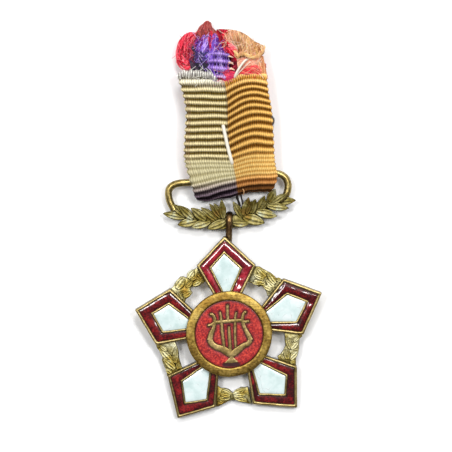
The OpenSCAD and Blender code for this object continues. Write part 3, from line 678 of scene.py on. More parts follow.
def redBand(name, seed):
    # red enamel between the rim and the kite's line, domed across, low against the metal
    t = star["thick"] - star["enamelDrop"]
    outline = starOutline(armCorners[name])
    kite = starOutline(kiteCorners[name])
    outer = atHeight(roundedOutline(insetOutline(outline, star["rim"] - 0.03), 0.12), 0)
    inner = atHeight(roundedOutline(insetOutline(kite, 0.02), 0.1), 0)
    rings, shade = [], []
    height, flatness = enamelDome[name]
    steps = 12
    for k in range(steps + 1):
        u = k / steps
        ring = outer * (1 - u) + inner * u
        ring[:, 2] = t - 0.1 + height * (1 - abs(2 * u - 1) ** flatness)
        rings.append(ring)
        # painted shade: the band is drawn darker towards the metal on both sides
        shade.append(np.full(len(ring), max(0.0, (abs(2 * u - 1) - 0.6) / 0.4) ** 1.2 * 0.9))
    under = [atHeight(inner, t - 0.3), atHeight(outer, t - 0.3)]
    part = loft(np.array(rings + under), loop=True)
    points = part["points"] + 0.03 * noiseAt(part["points"], 0.9, seed + 40)
    for px, py, radius, fallX, fallY in enamelSlants.get(name, ()):
        dx, dy = (points[:, :2] - onStar(px, py, t)).T
        reach = np.hypot(dx, dy) * (1 + 0.6 * noiseAt(points, 0.35, seed + 90)[:, 0]) / (radius * photo["mmPerPixel"])
        share = (1 - smoothStep(reach, 0.4, 1.1)) * (points[:, 2] > t - 0.2)
        points[:, 2] += share * (t - 0.09 - fallX * dx - fallY * dy - points[:, 2])
    part["points"] = points
    part["shade"] = np.concatenate(shade + [np.ones(len(outer))] * 2)
    return part


def whiteKite(name, seed):
    t = star["thick"] - star["enamelDrop"]
    corners = insetOutline(starOutline(kiteCorners[name]), star["line"] - 0.03)
    middle = corners.mean(0)
    edge = roundedOutline(corners, 0.08)
    # painted shade: the kite is drawn darker towards its metal line
    rings, shade = [atHeight(edge, t - 0.35)], [np.full(len(edge), 0.5)]
    for u in (0.0, 0.03, 0.07, 0.14, 0.26, 0.42, 0.58, 0.74, 0.88, 0.97):
        rings.append(atHeight(edge * (1 - u) + middle * u, t - 0.07 + 0.09 * (1 - (1 - u) ** 7)))
        shade.append(np.full(len(edge), max(0.0, 0.6 - 10 * u)))
    part = loft(np.array(rings))
    part["points"] = part["points"] + 0.02 * noiseAt(part["points"], 0.8, seed + 60)
    part["shade"] = np.concatenate(shade)
    return part


def lathe(profile, sides=128, wobble=0.0, seed=0):
    angles = 2 * np.pi * np.arange(sides) / sides
    rings = np.array([np.column_stack([r * np.cos(angles), r * np.sin(angles), np.full(sides, z)])
        for r, z in profile])
    if wobble:
        rings[:, :, :2] += wobble * noiseAt(rings[0], 1.5, seed)[None, :, :2]
    return loft(rings)


def stapleWire():
    half, drop, r = star["stapleHalf"], star["stapleDrop"], star["stapleWire"] / 2
    corners = [(-half, 0.2), (-half, -drop + 0.4), (-half * 0.86, -drop + 0.06), (-half * 0.6, -drop),
        (half * 0.6, -drop), (half * 0.86, -drop + 0.06), (half, -drop + 0.4), (half, 0.2)]
    path = smoothPath([(x, star["staple"], z) for x, z in corners], 6)
    return tube(path, r, r, 12, up=(0, 1, 0))


def makeStar():
    hub = lathe([(r + star["hubR"], z) for r, z in ((-0.2, 0.0), (-0.08, 0.03), (0.0, 0.12), (0.0, 1.05),
        (-0.06, 1.16), (-0.2, 1.19))], wobble=0.03)
    parts = [armMetal(name, i + 1) for i, name in enumerate(armCorners)] + [hub, stapleWire()]
    makePiece("starArms", placed(joined(parts), starPlace), antiqueBrass, ["star_body"], 45)
    # the source numbers its arms from the top one, counter-clockwise, as armCorners does
    for i, name in enumerate(armCorners):
        # the top arm's red is drawn lighter than the other arms'
        tone = topEnamel if name == "top" else rubyEnamel
        makePiece(f"redEnamel.{name}", placed(redBand(name, i), starPlace), tone,
            [f"red_enamel_{i + 1}"], 60)
        makePiece(f"whiteEnamel.{name}", placed(whiteKite(name, i), starPlace), whiteEnamel,
            [f"white_enamel_{i + 1}"], 60)


makeStar()
print("star arms made")


# The laurel links between the arms: a thin pierced plate with struck leaves. Outlines run
# counter-clockwise in the photograph's pixels; leaves are base, tip and width in pixels.
links = {"plateLow": 0.12, "plateTop": 0.6, "leafLow": 0.44, "leafHeight": 0.34, "wider": 1.3}
linkOutlines = {"upperLeft": [(197.5, 267.5), (193.8, 269.6), (191.6, 270.1), (189.3, 272.7), (187.4, 274.9),
    (186.2, 278.0), (183.7, 276.5), (180.3, 276.9), (177.3, 280.2), (174.7, 283.6), (173.0, 287.3), (170.6, 288.7),
    (172.0, 292.0), (181.5, 302.2), (184.8, 303.5), (186.0, 299.3), (190.2, 296.0), (192.7, 292.9), (190.7, 290.3),
    (190.7, 288.1), (192.7, 287.0), (196.9, 287.3), (201.1, 285.0), (204.8, 282.2), (206.0, 281.0)],
    "upperRight": [(253.5, 268.0), (248.0, 281.5), (250.8, 283.1), (254.0, 284.3), (256.2, 285.3), (258.6, 287.0),
    (261.8, 286.2), (263.5, 287.4), (265.9, 291.1), (267.3, 295.9), (269.5, 297.0), (283.4, 279.8), (278.2, 278.5),
    (275.8, 278.0), (273.6, 275.6), (270.7, 272.7), (266.8, 271.0), (263.0, 268.8), (259.3, 266.6), (255.9, 266.4)],
    "left": [(175.0, 340.0), (155.5, 343.8), (157.2, 348.9), (159.6, 351.6), (163.0, 355.7), (161.8, 360.3),
    (163.0, 364.2), (165.2, 369.0), (166.6, 372.4), (166.8, 377.0), (182.5, 369.0), (181.9, 367.1), (180.4, 362.7),
    (179.2, 358.1), (178.7, 351.6), (177.0, 346.2), (175.6, 342.4)],
    "right": [(284.6, 332.4), (284.5, 339.2), (285.5, 345.5), (283.3, 350.6), (280.4, 354.5), (277.2, 356.7),
    (279.0, 360.0), (296.1, 366.5), (296.1, 359.1), (298.3, 353.8), (299.3, 348.4), (299.3, 343.6), (300.2, 338.7),
    (302.6, 336.5), (302.0, 333.5)], "bottom": [(216.4, 385.0), (215.0, 406.8), (218.5, 407.1), (223.8, 404.3),
    (228.9, 401.5), (232.5, 400.4), (239.0, 401.0), (245.1, 403.2), (249.6, 404.4), (252.0, 403.6), (248.0, 387.0),
    (245.1, 387.8), (240.7, 387.5), (237.3, 390.6), (232.8, 393.6), (229.4, 390.0), (225.5, 388.6), (221.3, 388.6)]}
linkLeaves = {"upperLeft": [((176.4, 289.8), (184.8, 277.3), 7.2), ((188.0, 279.2), (194.4, 270.0), 5.6),
    ((186.2, 288.4), (192.7, 281.4), 4.0), ((192.4, 286.0), (202.0, 281.0), 4.8),
    ((183.4, 297.4), (191.0, 292.2), 5.4), ((177.3, 291.6), (182.4, 299.8), 4.4),
    ((197.6, 271.2), (202.0, 279.0), 4.6), ((181.6, 291.6), (187.0, 295.0), 3.4),
    ((190.6, 280.6), (196.8, 276.8), 3.4)], "upperRight": [((266.3, 277.7), (255.8, 268.0), 5.2),
    ((275.9, 284.7), (267.2, 272.2), 5.6), ((264.4, 279.7), (253.4, 275.0), 4.4),
    ((266.1, 284.4), (253.8, 281.0), 4.8), ((274.6, 287.9), (265.7, 279.7), 4.6),
    ((271.9, 290.4), (262.9, 286.0), 4.6), ((281.4, 282.0), (275.6, 278.6), 3.4),
    ((262.0, 284.2), (252.0, 283.4), 3.0)], "left": [((174.6, 365.6), (158.4, 348.4), 6.2),
    ((175.2, 364.9), (175.6, 347.4), 4.8), ((175.8, 370.4), (163.3, 359.6), 5.8),
    ((178.6, 370.4), (177.2, 359.6), 3.6), ((172.0, 374.6), (165.4, 369.3), 4.2),
    ((167.0, 351.6), (159.4, 345.8), 3.8)], "right": [((291.0, 350.3), (286.2, 336.4), 4.8),
    ((291.2, 350.3), (298.6, 341.0), 4.8), ((287.8, 360.7), (286.2, 348.2), 5.2),
    ((289.8, 360.5), (298.2, 351.4), 5.2), ((293.6, 342.4), (299.8, 336.4), 3.6),
    ((290.4, 364.0), (295.6, 360.6), 3.4), ((284.6, 360.2), (281.4, 354.6), 3.6)],
    "bottom": [((232.6, 395.6), (245.6, 389.5), 5.2), ((233.6, 398.0), (247.9, 401.8), 4.8),
    ((233.0, 396.7), (246.9, 395.2), 4.4), ((231.4, 395.9), (221.2, 390.7), 5.4),
    ((230.8, 398.5), (218.6, 399.3), 4.8), ((231.0, 397.0), (219.8, 394.6), 4.4),
    ((224.6, 401.2), (217.6, 404.6), 3.6)]}


def makeLinks():
    plates, rows = [], []
    k = photo["mmPerPixel"]
    for name in linkOutlines:
        top = links["plateTop"]
        outline = np.array([onStar(px, py, top) for px, py in linkOutlines[name]])
        area = np.sum(outline[:, 0] * np.roll(outline[:, 1], -1) - outline[:, 1] * np.roll(outline[:, 0], -1))
        if area < 0:
            outline = outline[::-1]
        steps = [(0.04, links["plateLow"]), (0.0, links["plateLow"] + 0.05), (0.0, top - 0.09), (0.03, top - 0.02),
            (0.08, top)]
        rings = np.array([atHeight(roundedOutline(insetOutline(outline, by), 0.05, 3, 2), z) for by, z in steps])
        plate = loft(rings)
        sides = rings.shape[1]
        # painted shade: the plate's sides are drawn darker than its top
        plate["shade"] = np.repeat([0.8, 0.8, 0.6, 0.2, 0.0], sides)
        plates.append(plate)
        for j, (base, tip, width) in enumerate(linkLeaves[name]):
            low = links["leafLow"] + 0.04 * (j % 3)
            start = starPlace @ Vector((*onStar(*base, low + 0.6), low))
            end = starPlace @ Vector((*onStar(*tip, low + 0.5), low - 0.05))
            rows.append(leafRow(start, end, width * k * links["wider"], links["leafHeight"]))
    makePiece("starLinks", placed(joined(plates), starPlace), linkBrass, smoothAngle=50)
    leafPiece("starLinkLeaves", rows, linkBrass)


makeLinks()
print("laurel links made")


# The medallion: a turned ring, a lyre of wire strokes and red enamel round them.
medallion = {
    "offset": (-0.22, 0.16), "base": 1.22, "outer": 4.74, "field": 3.75,
    "strokeTop": 0.56, "enamelTop": 0.5, "enamelLow": 0.28, "darkReach": 0.2, "bolder": 1.16, "strokeSquare": 0.42,
}
# strokes of the lyre in mm from the medallion's centre, straight up in the photograph: path, widths
lyre = {"bowlLeft": ([(0.3, -2.34), (0.02, -2.12), (-0.44, -1.8), (-0.9, -1.58), (-1.4, -1.42), (-1.86, -1.1),
    (-2.14, -0.62)], (0.5, 0.68, 0.68, 0.6, 0.54, 0.56, 0.54)), "bowlRight": ([(0.24, -2.34), (0.56, -2.08),
    (1.02, -1.7), (1.54, -1.3), (2.08, -1.04), (2.36, -0.64)], (0.5, 0.66, 0.62, 0.48, 0.44, 0.46)),
    "armLeft": ([(-2.14, -0.68), (-1.96, 0.04), (-1.7, 0.7), (-1.59, 1.26), (-1.6, 1.72), (-1.74, 2.06),
    (-1.95, 2.2)], (0.54, 0.46, 0.36, 0.34, 0.32, 0.3, 0.34)), "armRight": ([(2.38, -0.64), (2.1, -0.08),
    (1.77, 0.56), (1.56, 1.12), (1.46, 1.66), (1.55, 2.16), (1.76, 2.4)],
    (0.48, 0.44, 0.36, 0.34, 0.3, 0.28, 0.34)), "scrollLeft": ([(-1.66, 1.26), (-1.92, 1.06), (-2.2, 0.97)],
    (0.26, 0.26, 0.3)), "scrollRight": ([(1.52, 1.42), (1.8, 1.36), (2.04, 1.42)], (0.26, 0.26, 0.3)),
    "crossbar": ([(-1.5, 1.3), (0.0, 1.45), (1.56, 1.55)], (0.34, 0.32, 0.3)),
    "stringLeft": ([(-0.84, 1.3), (-0.74, 0.2), (-0.56, -1.45)], (0.28, 0.27, 0.27)),
    "stringMiddle": ([(-0.02, 0.86), (0.04, -0.4), (0.14, -1.9)], (0.24, 0.28, 0.32)),
    "stringRight": ([(0.66, 1.48), (0.64, 0.2), (0.72, -1.45)], (0.26, 0.24, 0.22)),
    "pegLeft": ([(-1.0, 2.48), (-0.92, 2.0), (-0.84, 1.4)], (0.2, 0.24, 0.28)),
    "pegMiddle": ([(-0.18, 3.22), (-0.18, 2.4), (-0.12, 1.4)], (0.28, 0.26, 0.26)),
    "pegRight": ([(0.8, 2.44), (0.7, 1.96), (0.64, 1.5)], (0.2, 0.22, 0.26)),
    "foot": ([(0.26, -2.2), (0.26, -2.6), (0.25, -2.86)], (0.5, 0.34, 0.5))}
lyreBalls = [((-1.98, 2.19), 0.42), ((1.76, 2.42), 0.42), ((-2.22, 0.96), 0.42), ((2.07, 1.42), 0.4),
    ((-0.18, 3.22), 0.22)]
lyreBase = [(0.12, -2.5), (-0.56, -3.22), (0.25, -3.2), (1.05, -3.08), (0.42, -2.5)]


def medallionPlace():
    # the photograph's upright direction, seen in the leaning star's plane
    return starPlace @ Matrix.Translation((*medallion["offset"], medallion["base"])) @ Matrix.Rotation(
        -math.radians(star["turn"]), 4, "Z")


def strokeLines():
    lines = []
    for path, widths in lyre.values():
        places = np.arange((len(path) - 1) * 6 + 1) / 6
        lines.append((smoothPath(path, 6), np.interp(places, np.arange(len(path)), widths)))
    return lines


def distanceToLyre(points):
    best = np.full(len(points), 9.0)
    for path, widths in strokeLines():
        for a, b, w in zip(path[:-1], path[1:], widths[:-1]):
            d = b - a
            t = np.clip(((points - a) @ d) / (d @ d), 0, 1)
            best = np.minimum(best, np.linalg.norm(points - a - t[:, None] * d, axis=1) - w / 2 * medallion["bolder"])
    for centre, size in lyreBalls:
        best = np.minimum(best, np.linalg.norm(points - np.array(centre), axis=1) - size / 2)
    base = np.array(lyreBase)
    inside = np.abs(points[:, 0] - 0.25) < 0.12 + (-2.6 - points[:, 1]) * 0.95
    near = np.where((points[:, 1] < -2.6) & (points[:, 1] > base[:, 1].min()) & inside, -0.05, 9.0)
    # painted shadow: a small dark ellipse just below the lyre's foot
    below = np.hypot(np.maximum(np.abs(points[:, 0] - 0.25) - 0.75, 0), points[:, 1] + 3.38) - 0.17
    return np.minimum(np.minimum(best, near), below)


def makeMedallion():
    place = medallionPlace()
    outer, field = medallion["outer"], medallion["field"]
    ring = lathe([(outer - 0.06, 0.0), (outer, 0.05), (outer, 0.4), (outer - 0.025, 0.47), (outer - 0.08, 0.51),
        (outer - 0.2, 0.54), (4.35, 0.562), (4.15, 0.58), (3.98, 0.596), (3.88, 0.6), (3.8, 0.575), (field, 0.49),
        (field, 0.2)], 160, 0.03, 5)
    parts = []
    top = medallion["strokeTop"]
    for path, widths in strokeLines():
        points = np.column_stack([path, np.full(len(path), top - 0.12)])
        points[:, :2] += 0.02 * noiseAt(points, 0.5, 3)[:, :2]
        parts.append(tube(points, widths / 2 * medallion["bolder"], 0.13, 16, square=medallion["strokeSquare"]))
    for (x, y), size in lyreBalls:
        r = size / 2
        parts.append(placed(lathe([(r * 0.5, 0.0), (r, 0.06), (r * 0.92, 0.14), (r * 0.7, 0.2), (r * 0.35, 0.24),
            (0.02, 0.25)], 16), Matrix.Translation((x, y, top - 0.2))))
    base = roundedOutline(np.array(lyreBase), 0.07, 5, 3)
    parts.append(loft(np.array([atHeight(base, 0.3), atHeight(base, top - 0.05),
        atHeight(base * 0.94 + base.mean(0) * 0.06, top - 0.01), atHeight(base * 0.8 + base.mean(0) * 0.2, top)])))
    makePiece("medallionRing", placed(ring, place), medallionBrass, ["medallion"], 50)
    makePiece("lyre", placed(joined(parts), place), lyreBrass, smoothAngle=50)

    sides, circles = 220, 52
    angles = 2 * np.pi * np.arange(sides) / sides
    rings = []
    for i in range(circles + 1):
        r = (field - 0.01) * (1 - 0.995 * i / circles)
        rings.append(np.column_stack([r * np.cos(angles), r * np.sin(angles), np.zeros(sides)]))
    rings = np.array(rings)
    flat = rings.reshape(-1, 3)
    gapTo = distanceToLyre(flat[:, :2])
    fromRing = field - np.linalg.norm(flat[:, :2], axis=1)
    nearest = np.minimum(gapTo, fromRing)
    ripple = 0.015 * noiseAt(flat, 0.6, 8)[:, 2]
    flat[:, 2] = medallion["enamelTop"] - 0.03 + 0.02 * np.clip(nearest / 0.3, 0, 1) + ripple
    # painted shade: the enamel is drawn darker close to the strokes, the ring and the foot
    shade = np.clip(1.0 - nearest / medallion["darkReach"], 0, 1) ** 0.8
    rings = np.vstack([atHeight(rings[0], medallion["enamelLow"])[None], flat.reshape(rings.shape)])
    enamel = loft(rings)
    enamel["shade"] = np.concatenate([np.ones(sides), shade])
    makePiece("medallionEnamel", placed(enamel, place), redEnamel, ["medallion_enamel"])


makeMedallion()
print("medallion made")


# The suspension: a laurel spray soldered to a wire loop. Leaves are base, tip and width in pixels.
laurel = {"stem": (0.32, -0.22, 1.1), "turn": 5.8, "slope": 4.0, "leafHeight": 0.5, "leafLow": -0.2, "wire": 0.8,
    "wider": 1.12, "back": 0.75}
sprayLeaves = [((185.5, 217.6), (162.6, 213.2), 7.6), ((197.5, 220.4), (177.3, 225.0), 8.6),
    ((211.0, 221.2), (191.0, 227.4), 8.4), ((226.5, 220.8), (207.2, 229.0), 8.6),
    ((228.5, 223.2), (219.0, 229.2), 5.6), ((187.0, 217.0), (171.6, 203.6), 7.2),
    ((193.5, 219.4), (178.8, 205.4), 7.8), ((206.5, 220.4), (190.8, 207.8), 8.6),
    ((217.4, 221.0), (200.6, 207.2), 7.0), ((221.6, 218.6), (209.0, 203.4), 5.8),
    ((223.4, 217.6), (213.4, 202.8), 5.6), ((223.6, 219.6), (221.4, 199.2), 6.6),
    ((242.6, 218.2), (232.8, 201.0), 7.0), ((243.6, 216.4), (248.9, 196.9), 7.8),
    ((251.6, 213.6), (255.4, 198.8), 7.4), ((246.4, 214.2), (251.8, 200.6), 5.0),
    ((257.0, 211.8), (265.0, 195.4), 7.0), ((262.6, 208.8), (269.0, 198.6), 5.0),
    ((268.4, 203.0), (275.4, 188.6), 8.0), ((271.4, 203.4), (286.6, 193.6), 6.6),
    ((232.0, 223.0), (249.6, 223.6), 7.6), ((242.4, 216.4), (265.0, 223.0), 10.6),
    ((255.4, 211.6), (277.6, 216.2), 9.0), ((266.4, 205.6), (289.2, 208.2), 7.6),
    ((267.8, 201.8), (296.2, 200.2), 9.2)]
sprayStems = {"left": [(228.0, 222.6), (214.0, 221.4), (203.0, 220.6), (192.0, 218.8), (180.0, 214.4),
    (174.5, 209.0)], "right": [(228.0, 222.6), (240.0, 219.0), (252.0, 213.6), (262.0, 208.4), (271.0, 202.6),
    (280.0, 199.0)]}
loopPath = [(174.4, 210.4), (172.6, 207.0), (169.9, 201.7), (168.3, 194.4), (169.4, 188.6), (173.6, 184.9),
    (179.4, 183.2), (189.0, 182.4), (210.0, 180.3), (232.0, 178.0), (254.0, 175.5), (270.0, 173.8), (277.0, 173.4),
    (282.2, 175.2), (286.2, 179.0), (288.2, 185.6), (287.0, 192.8), (284.0, 197.4), (280.0, 201.0)]


def onSpray(px, py, lift=0.0):
    x, y, _ = fromPhoto(px, py)
    turn = math.radians(laurel["turn"])
    along = -(x - laurel["stem"][0]) * math.sin(turn) + (y - laurel["stem"][1]) * math.cos(turn)
    return np.array([x, y, laurel["stem"][2] + along * math.tan(math.radians(laurel["slope"])) + lift])


def makeSuspension():
    backs = []
    k = photo["mmPerPixel"]
    r = laurel["wire"] / 2
    loop = smoothPath([onSpray(*p) for p in loopPath], 5)
    loop = loop + 0.03 * noiseAt(loop, 2.0, 4)
    wires = [tube(loop, r * (1 + 0.05 * noiseAt(loop, 1.2, 9)[:, 0]), r, 18)]
    for places in sprayStems.values():
        path = smoothPath([onSpray(*p, -0.08) for p in places], 5)
        backs.append(tube(path, np.linspace(laurel["back"], 0.35, len(path)), 0.26, 16))
    makePiece("suspensionLoop", joined(wires), wireBrass, ["laurel_suspension"])
    # flat backing that the leaves are soldered on, drawn darker as painted shade in the gaps between the leaves
    backing = joined(backs)
    backing["shade"] = np.full(len(backing["points"]), 0.3)
    makePiece("suspensionBacking", backing, laurelBrass)
    rows = []
    for j, (base, tip, width) in enumerate(sprayLeaves):
        low = laurel["leafLow"] + 0.05 * (j % 4)
        rows.append(leafRow(onSpray(*base, low - 0.08), onSpray(*tip, low + 0.06), width * k * laurel["wider"],
            laurel["leafHeight"]))
    leafPiece("suspensionLeaves", rows, laurelBrass)


makeSuspension()
print("suspension made")


# The jump ring: a bent wire on its edge, thinner where it lies on the table.
jumpRing = {"at": (0.1, 0.04), "turn": -1.8, "wideR": 0.81, "narrowR": 0.65, "centres": 3.2, "halfAcross": 0.37,
    "half": 0.31, "brightening": 0.5, "highlightAt": 0.34}


def makeJumpRing():
    slope = math.asin((jumpRing["wideR"] - jumpRing["narrowR"]) / jumpRing["centres"])
    turns = [(0.0, jumpRing["wideR"], a) for a in np.linspace(math.pi / 2 - slope, 1.5 * math.pi + slope, 30)]
    turns += [(jumpRing["centres"], jumpRing["narrowR"], a) for a in np.linspace(-math.pi / 2 + slope,
        math.pi / 2 - slope, 24)]
    flat = np.array([(x + r * math.cos(a), r * math.sin(a)) for x, r, a in turns])
    low, high = flat[-1], flat[0]
    back = np.array([low + (high - low) * s for s in np.linspace(0, 1, 14)[1:-1]])
    front = np.array([flat[29] + (flat[30] - flat[29]) * s for s in np.linspace(0, 1, 14)[1:-1]])
    flat = np.vstack([flat[:30], front, flat[30:], back])
    turned = flat @ np.array([[math.cos(slope), -math.sin(slope)], [math.sin(slope), math.cos(slope)]])
    path = np.column_stack([np.zeros(len(turned)), -turned[:, 0], turned[:, 1] + jumpRing["wideR"]
        + jumpRing["half"]])
    part = tube(path, jumpRing["half"], jumpRing["halfAcross"], 18, up=(1, 0, 0), loop=True)
    # painted highlight: drawn brighter near its top, where it turns over the laurel's stem
    part["shade"] = 0.5 - jumpRing["brightening"] * np.exp(-((part["points"][:, 1] - jumpRing["highlightAt"]) / 0.4) ** 2)
    place = Matrix.Translation((*jumpRing["at"], 0)) @ Matrix.Rotation(math.radians(jumpRing["turn"]), 4, "Z")
    makePiece("jumpRing", placed(part, place), ringBronze, ["jump_ring"])


makeJumpRing()
print("jump ring made")


# The ribbon, as the part's source has it: a chain of sections from the tucked end over the top
# edge, down the front, round the bar and up the back.
# Columns: y and z of the crease; x of left edge, crease and right edge; extra y of the left edge,
# of the right half's crown and of the right edge; the crown's extra height.
ribbonSections = [(14.2, 1.79, -5.2, -0.4, 4.0, 0.5, 0.75, 0.6, 0),
    (14.6, 1.78, -5.3, -0.4, 4.1, 0.5, 0.75, 0.6, 0), (15.05, 1.96, -5.4, -0.4, 4.15, 0.5, 0.75, 0.6, 0),
    (15.25, 2.42, -5.45, -0.4, 4.2, 0.5, 0.75, 0.6, 0), (15.05, 2.88, -5.45, -0.38, 4.25, 0.5, 0.77, 0.6, 0.03),
    (14.6, 3.06, -5.35, -0.3, 4.3, 0.55, 0.85, 0.65, 0.07), (13.1, 3.0, -5.0, -0.1, 4.45, 0.8, 1.15, 0.85, 0.15),
    (11.8, 2.9, -4.7, -0.1, 4.7, 0.5, 1.25, 0.95, 0.2), (10.2, 2.8, -4.72, -0.05, 4.85, 0.35, 1.2, 0.95, 0.2),
    (8.4, 2.68, -4.85, 0.12, 4.98, 0.3, 1.0, 0.85, 0.16), (6.8, 2.58, -4.85, 0.4, 5.05, 0.1, 0.7, 0.7, 0.1),
    (5.6, 2.5, -4.5, 0.65, 5.2, -0.2, 0.5, 0.55, 0.05), (4.8, 2.44, -4.2, 0.8, 5.4, -0.45, 0.4, 0.5, 0.02),
    (4.1, 2.4, -3.95, 0.9, 5.4, -0.5, 0.4, 0.5, 0), (3.58, 2.05, -3.7, 0.95, 5.3, -0.55, 0.42, 0.55, 0),
    (3.42, 1.46, -3.5, 0.95, 5.2, -0.55, 0.42, 0.55, 0), (3.58, 0.87, -3.6, 0.9, 5.15, -0.55, 0.42, 0.55, 0),
    (4.1, 0.52, -3.9, 0.8, 5.1, -0.5, 0.4, 0.5, 0), (5.2, 0.51, -4.2, 0.6, 4.9, -0.4, 0.35, 0.4, 0),
    (6.8, 0.55, -4.5, 0.3, 4.7, -0.2, 0.2, 0.2, 0), (8.4, 0.95, -4.45, 0.1, 4.65, 0, 0.1, 0, 0),
    (9.6, 1.42, -4.42, 0, 4.6, 0, 0, 0, 0), (10.6, 1.6, -4.4, 0, 4.6, 0, 0, 0, 0),
    (11.6, 1.58, -4.4, 0, 4.5, 0, 0, 0, 0), (12.4, 1.3, -4.42, 0, 4.4, 0, 0, 0, 0),
    (13.3, 0.72, -4.5, 0, 4.3, 0, 0, 0, 0), (14.2, 0.54, -4.3, 0, 4.2, 0, 0, 0, 0),
    (15.6, 0.54, -4.0, 0, 4.1, 0, 0, 0, 0), (17.2, 0.54, -3.75, 0, 3.9, 0, 0, 0, 0),
    (19.2, 0.54, -3.5, 0, 3.5, 0, 0, 0, 0)]
ribbon = {
    "thick": 1.0, "step": 0.092, "leftColumns": 52, "rightColumns": 56, "innerColumns": 36, "crownAt": 0.62,
    "ribPitch": 0.735, "ribDepth": 0.3, "ribShift": 0.41, "finePitch": 0.4, "fineDepth": 0.04, "foldPitch": 0.5,
    "fineFrom": 10.2, "foldFrom": 12.4, "backFrom": 16.7,
}


def evenRows(rows, step):
    length = np.concatenate([[0], np.cumsum(np.linalg.norm(np.diff(rows[:, :2], axis=0), axis=1))])
    at = np.linspace(0, length[-1], int(round(length[-1] / step)) + 1)
    return np.column_stack([np.interp(at, length, rows[:, c]) for c in range(rows.shape[1])]), at


def ribbonLine(rows, shares):
    # shares from -1, the left edge, over 0, the crease, to 1, the right edge
    y, z, left, crease, right, leftY, crownY, rightY, crownZ = [rows[:, c][:, None] for c in range(9)]
    a, b = np.minimum(shares, 0)[None] + 1, np.maximum(shares, 0)[None]
    crown = ribbon["crownAt"]
    rise = np.where(b <= crown, crownY * np.sin(np.pi / 2 * b / crown),
        crownY + (rightY - crownY) * (1 - np.cos(np.pi / 2 * np.clip((b - crown) / (1 - crown), 0, 1))))
    onLeft = shares[None] < 0
    x = np.where(onLeft, left + (crease - left) * a, crease + (right - crease) * b)
    high = np.where(onLeft, leftY * (1 - a), rise)
    lift = np.where(onLeft, 0.4 * crownZ * np.sin(np.pi * a), crownZ * np.sin(np.pi * b))
    return np.dstack([x, y + high, z + lift])


def dyeMix(first, second, share):
    first, second = [dyeOf(dye) if isinstance(dye, str) else dye for dye in (first, second)]
    return first + (second - first) * np.asarray(share)[..., None]


def ribbonDye(share, along, crest):
    # crest 0 in a groove, 1 on a rib. The front faded to cream and gold; the folds kept their dye and are drawn
    # darker towards their lower edge. Grooves are drawn dark and crests light: dirt and unfaded dye in the grooves,
    # and painted shade and highlight; the sharper pairs in the fold draw thin painted highlight lines on its crests.
    def pair(low, high, sharp=1.0):
        return dyeMix(low, high, crest ** sharp)
    low = smoothStep(along, ribbon["fineFrom"] - 0.4, ribbon["fineFrom"] + 0.5)
    fold = smoothStep(along, ribbon["foldFrom"] - 0.5, ribbon["foldFrom"] + 0.5)
    dark = smoothStep(along, ribbon["foldFrom"] + 0.1, ribbon["foldFrom"] + 0.9)
    late = smoothStep(along, ribbon["foldFrom"] + 0.3, ribbon["foldFrom"] + 1.1)
    top = 1 - smoothStep(along, 1.9, 3.0)
    left = dyeMix(pair("#5c4702", "#ecdba8", 1.5), pair("#a0956c", "#c9c098"), low)
    left = dyeMix(left, pair("#3a2a30", "#c8b8ac", 2.0), fold)
    left = dyeMix(left, pair("#160a14", "#8a7484", 7.0), dark)
    left = dyeMix(left, pair("#988c70", "#f2ecd4"), top)
    right = dyeMix(pair("#6e4000", "#edba66", 1.5), pair("#b68238", "#dfb96f"), low)
    right = dyeMix(right, pair("#74400e", "#e4a05c", 1.8), fold)
    right = dyeMix(right, pair("#2a1404", "#84542a", 1.6), late)
    right = dyeMix(right, pair("#ba7e28", "#ffd084"), top)
    # painted shade: the right half is drawn darker towards the crease
    right = right * (0.88 + 0.34 * np.clip(share, 0, 1) ** 1.5)[..., None]
    side = smoothStep(share, -0.012, 0.012)
    tone = dyeMix(left, right, side)
    # painted shade: a dark line along the crease
    tone = dyeMix(tone, "#5c4030", 0.55 * np.exp(-((share + 0.012) / 0.018) ** 2) * (1 - low * 0.6))
    back = dyeMix(pair("#2e2060", "#7058b8"), pair("#8a4a12", "#d8923e"), side)
    back = dyeMix(back, pair("#8a1c1c", "#d04034"), smoothStep(np.abs(share), 0.93, 0.95))
    front = smoothStep(along, 0.4, 1.0) * (1 - smoothStep(along, ribbon["backFrom"] - 1.5, ribbon["backFrom"]))
    return dyeMix(back, tone, front)


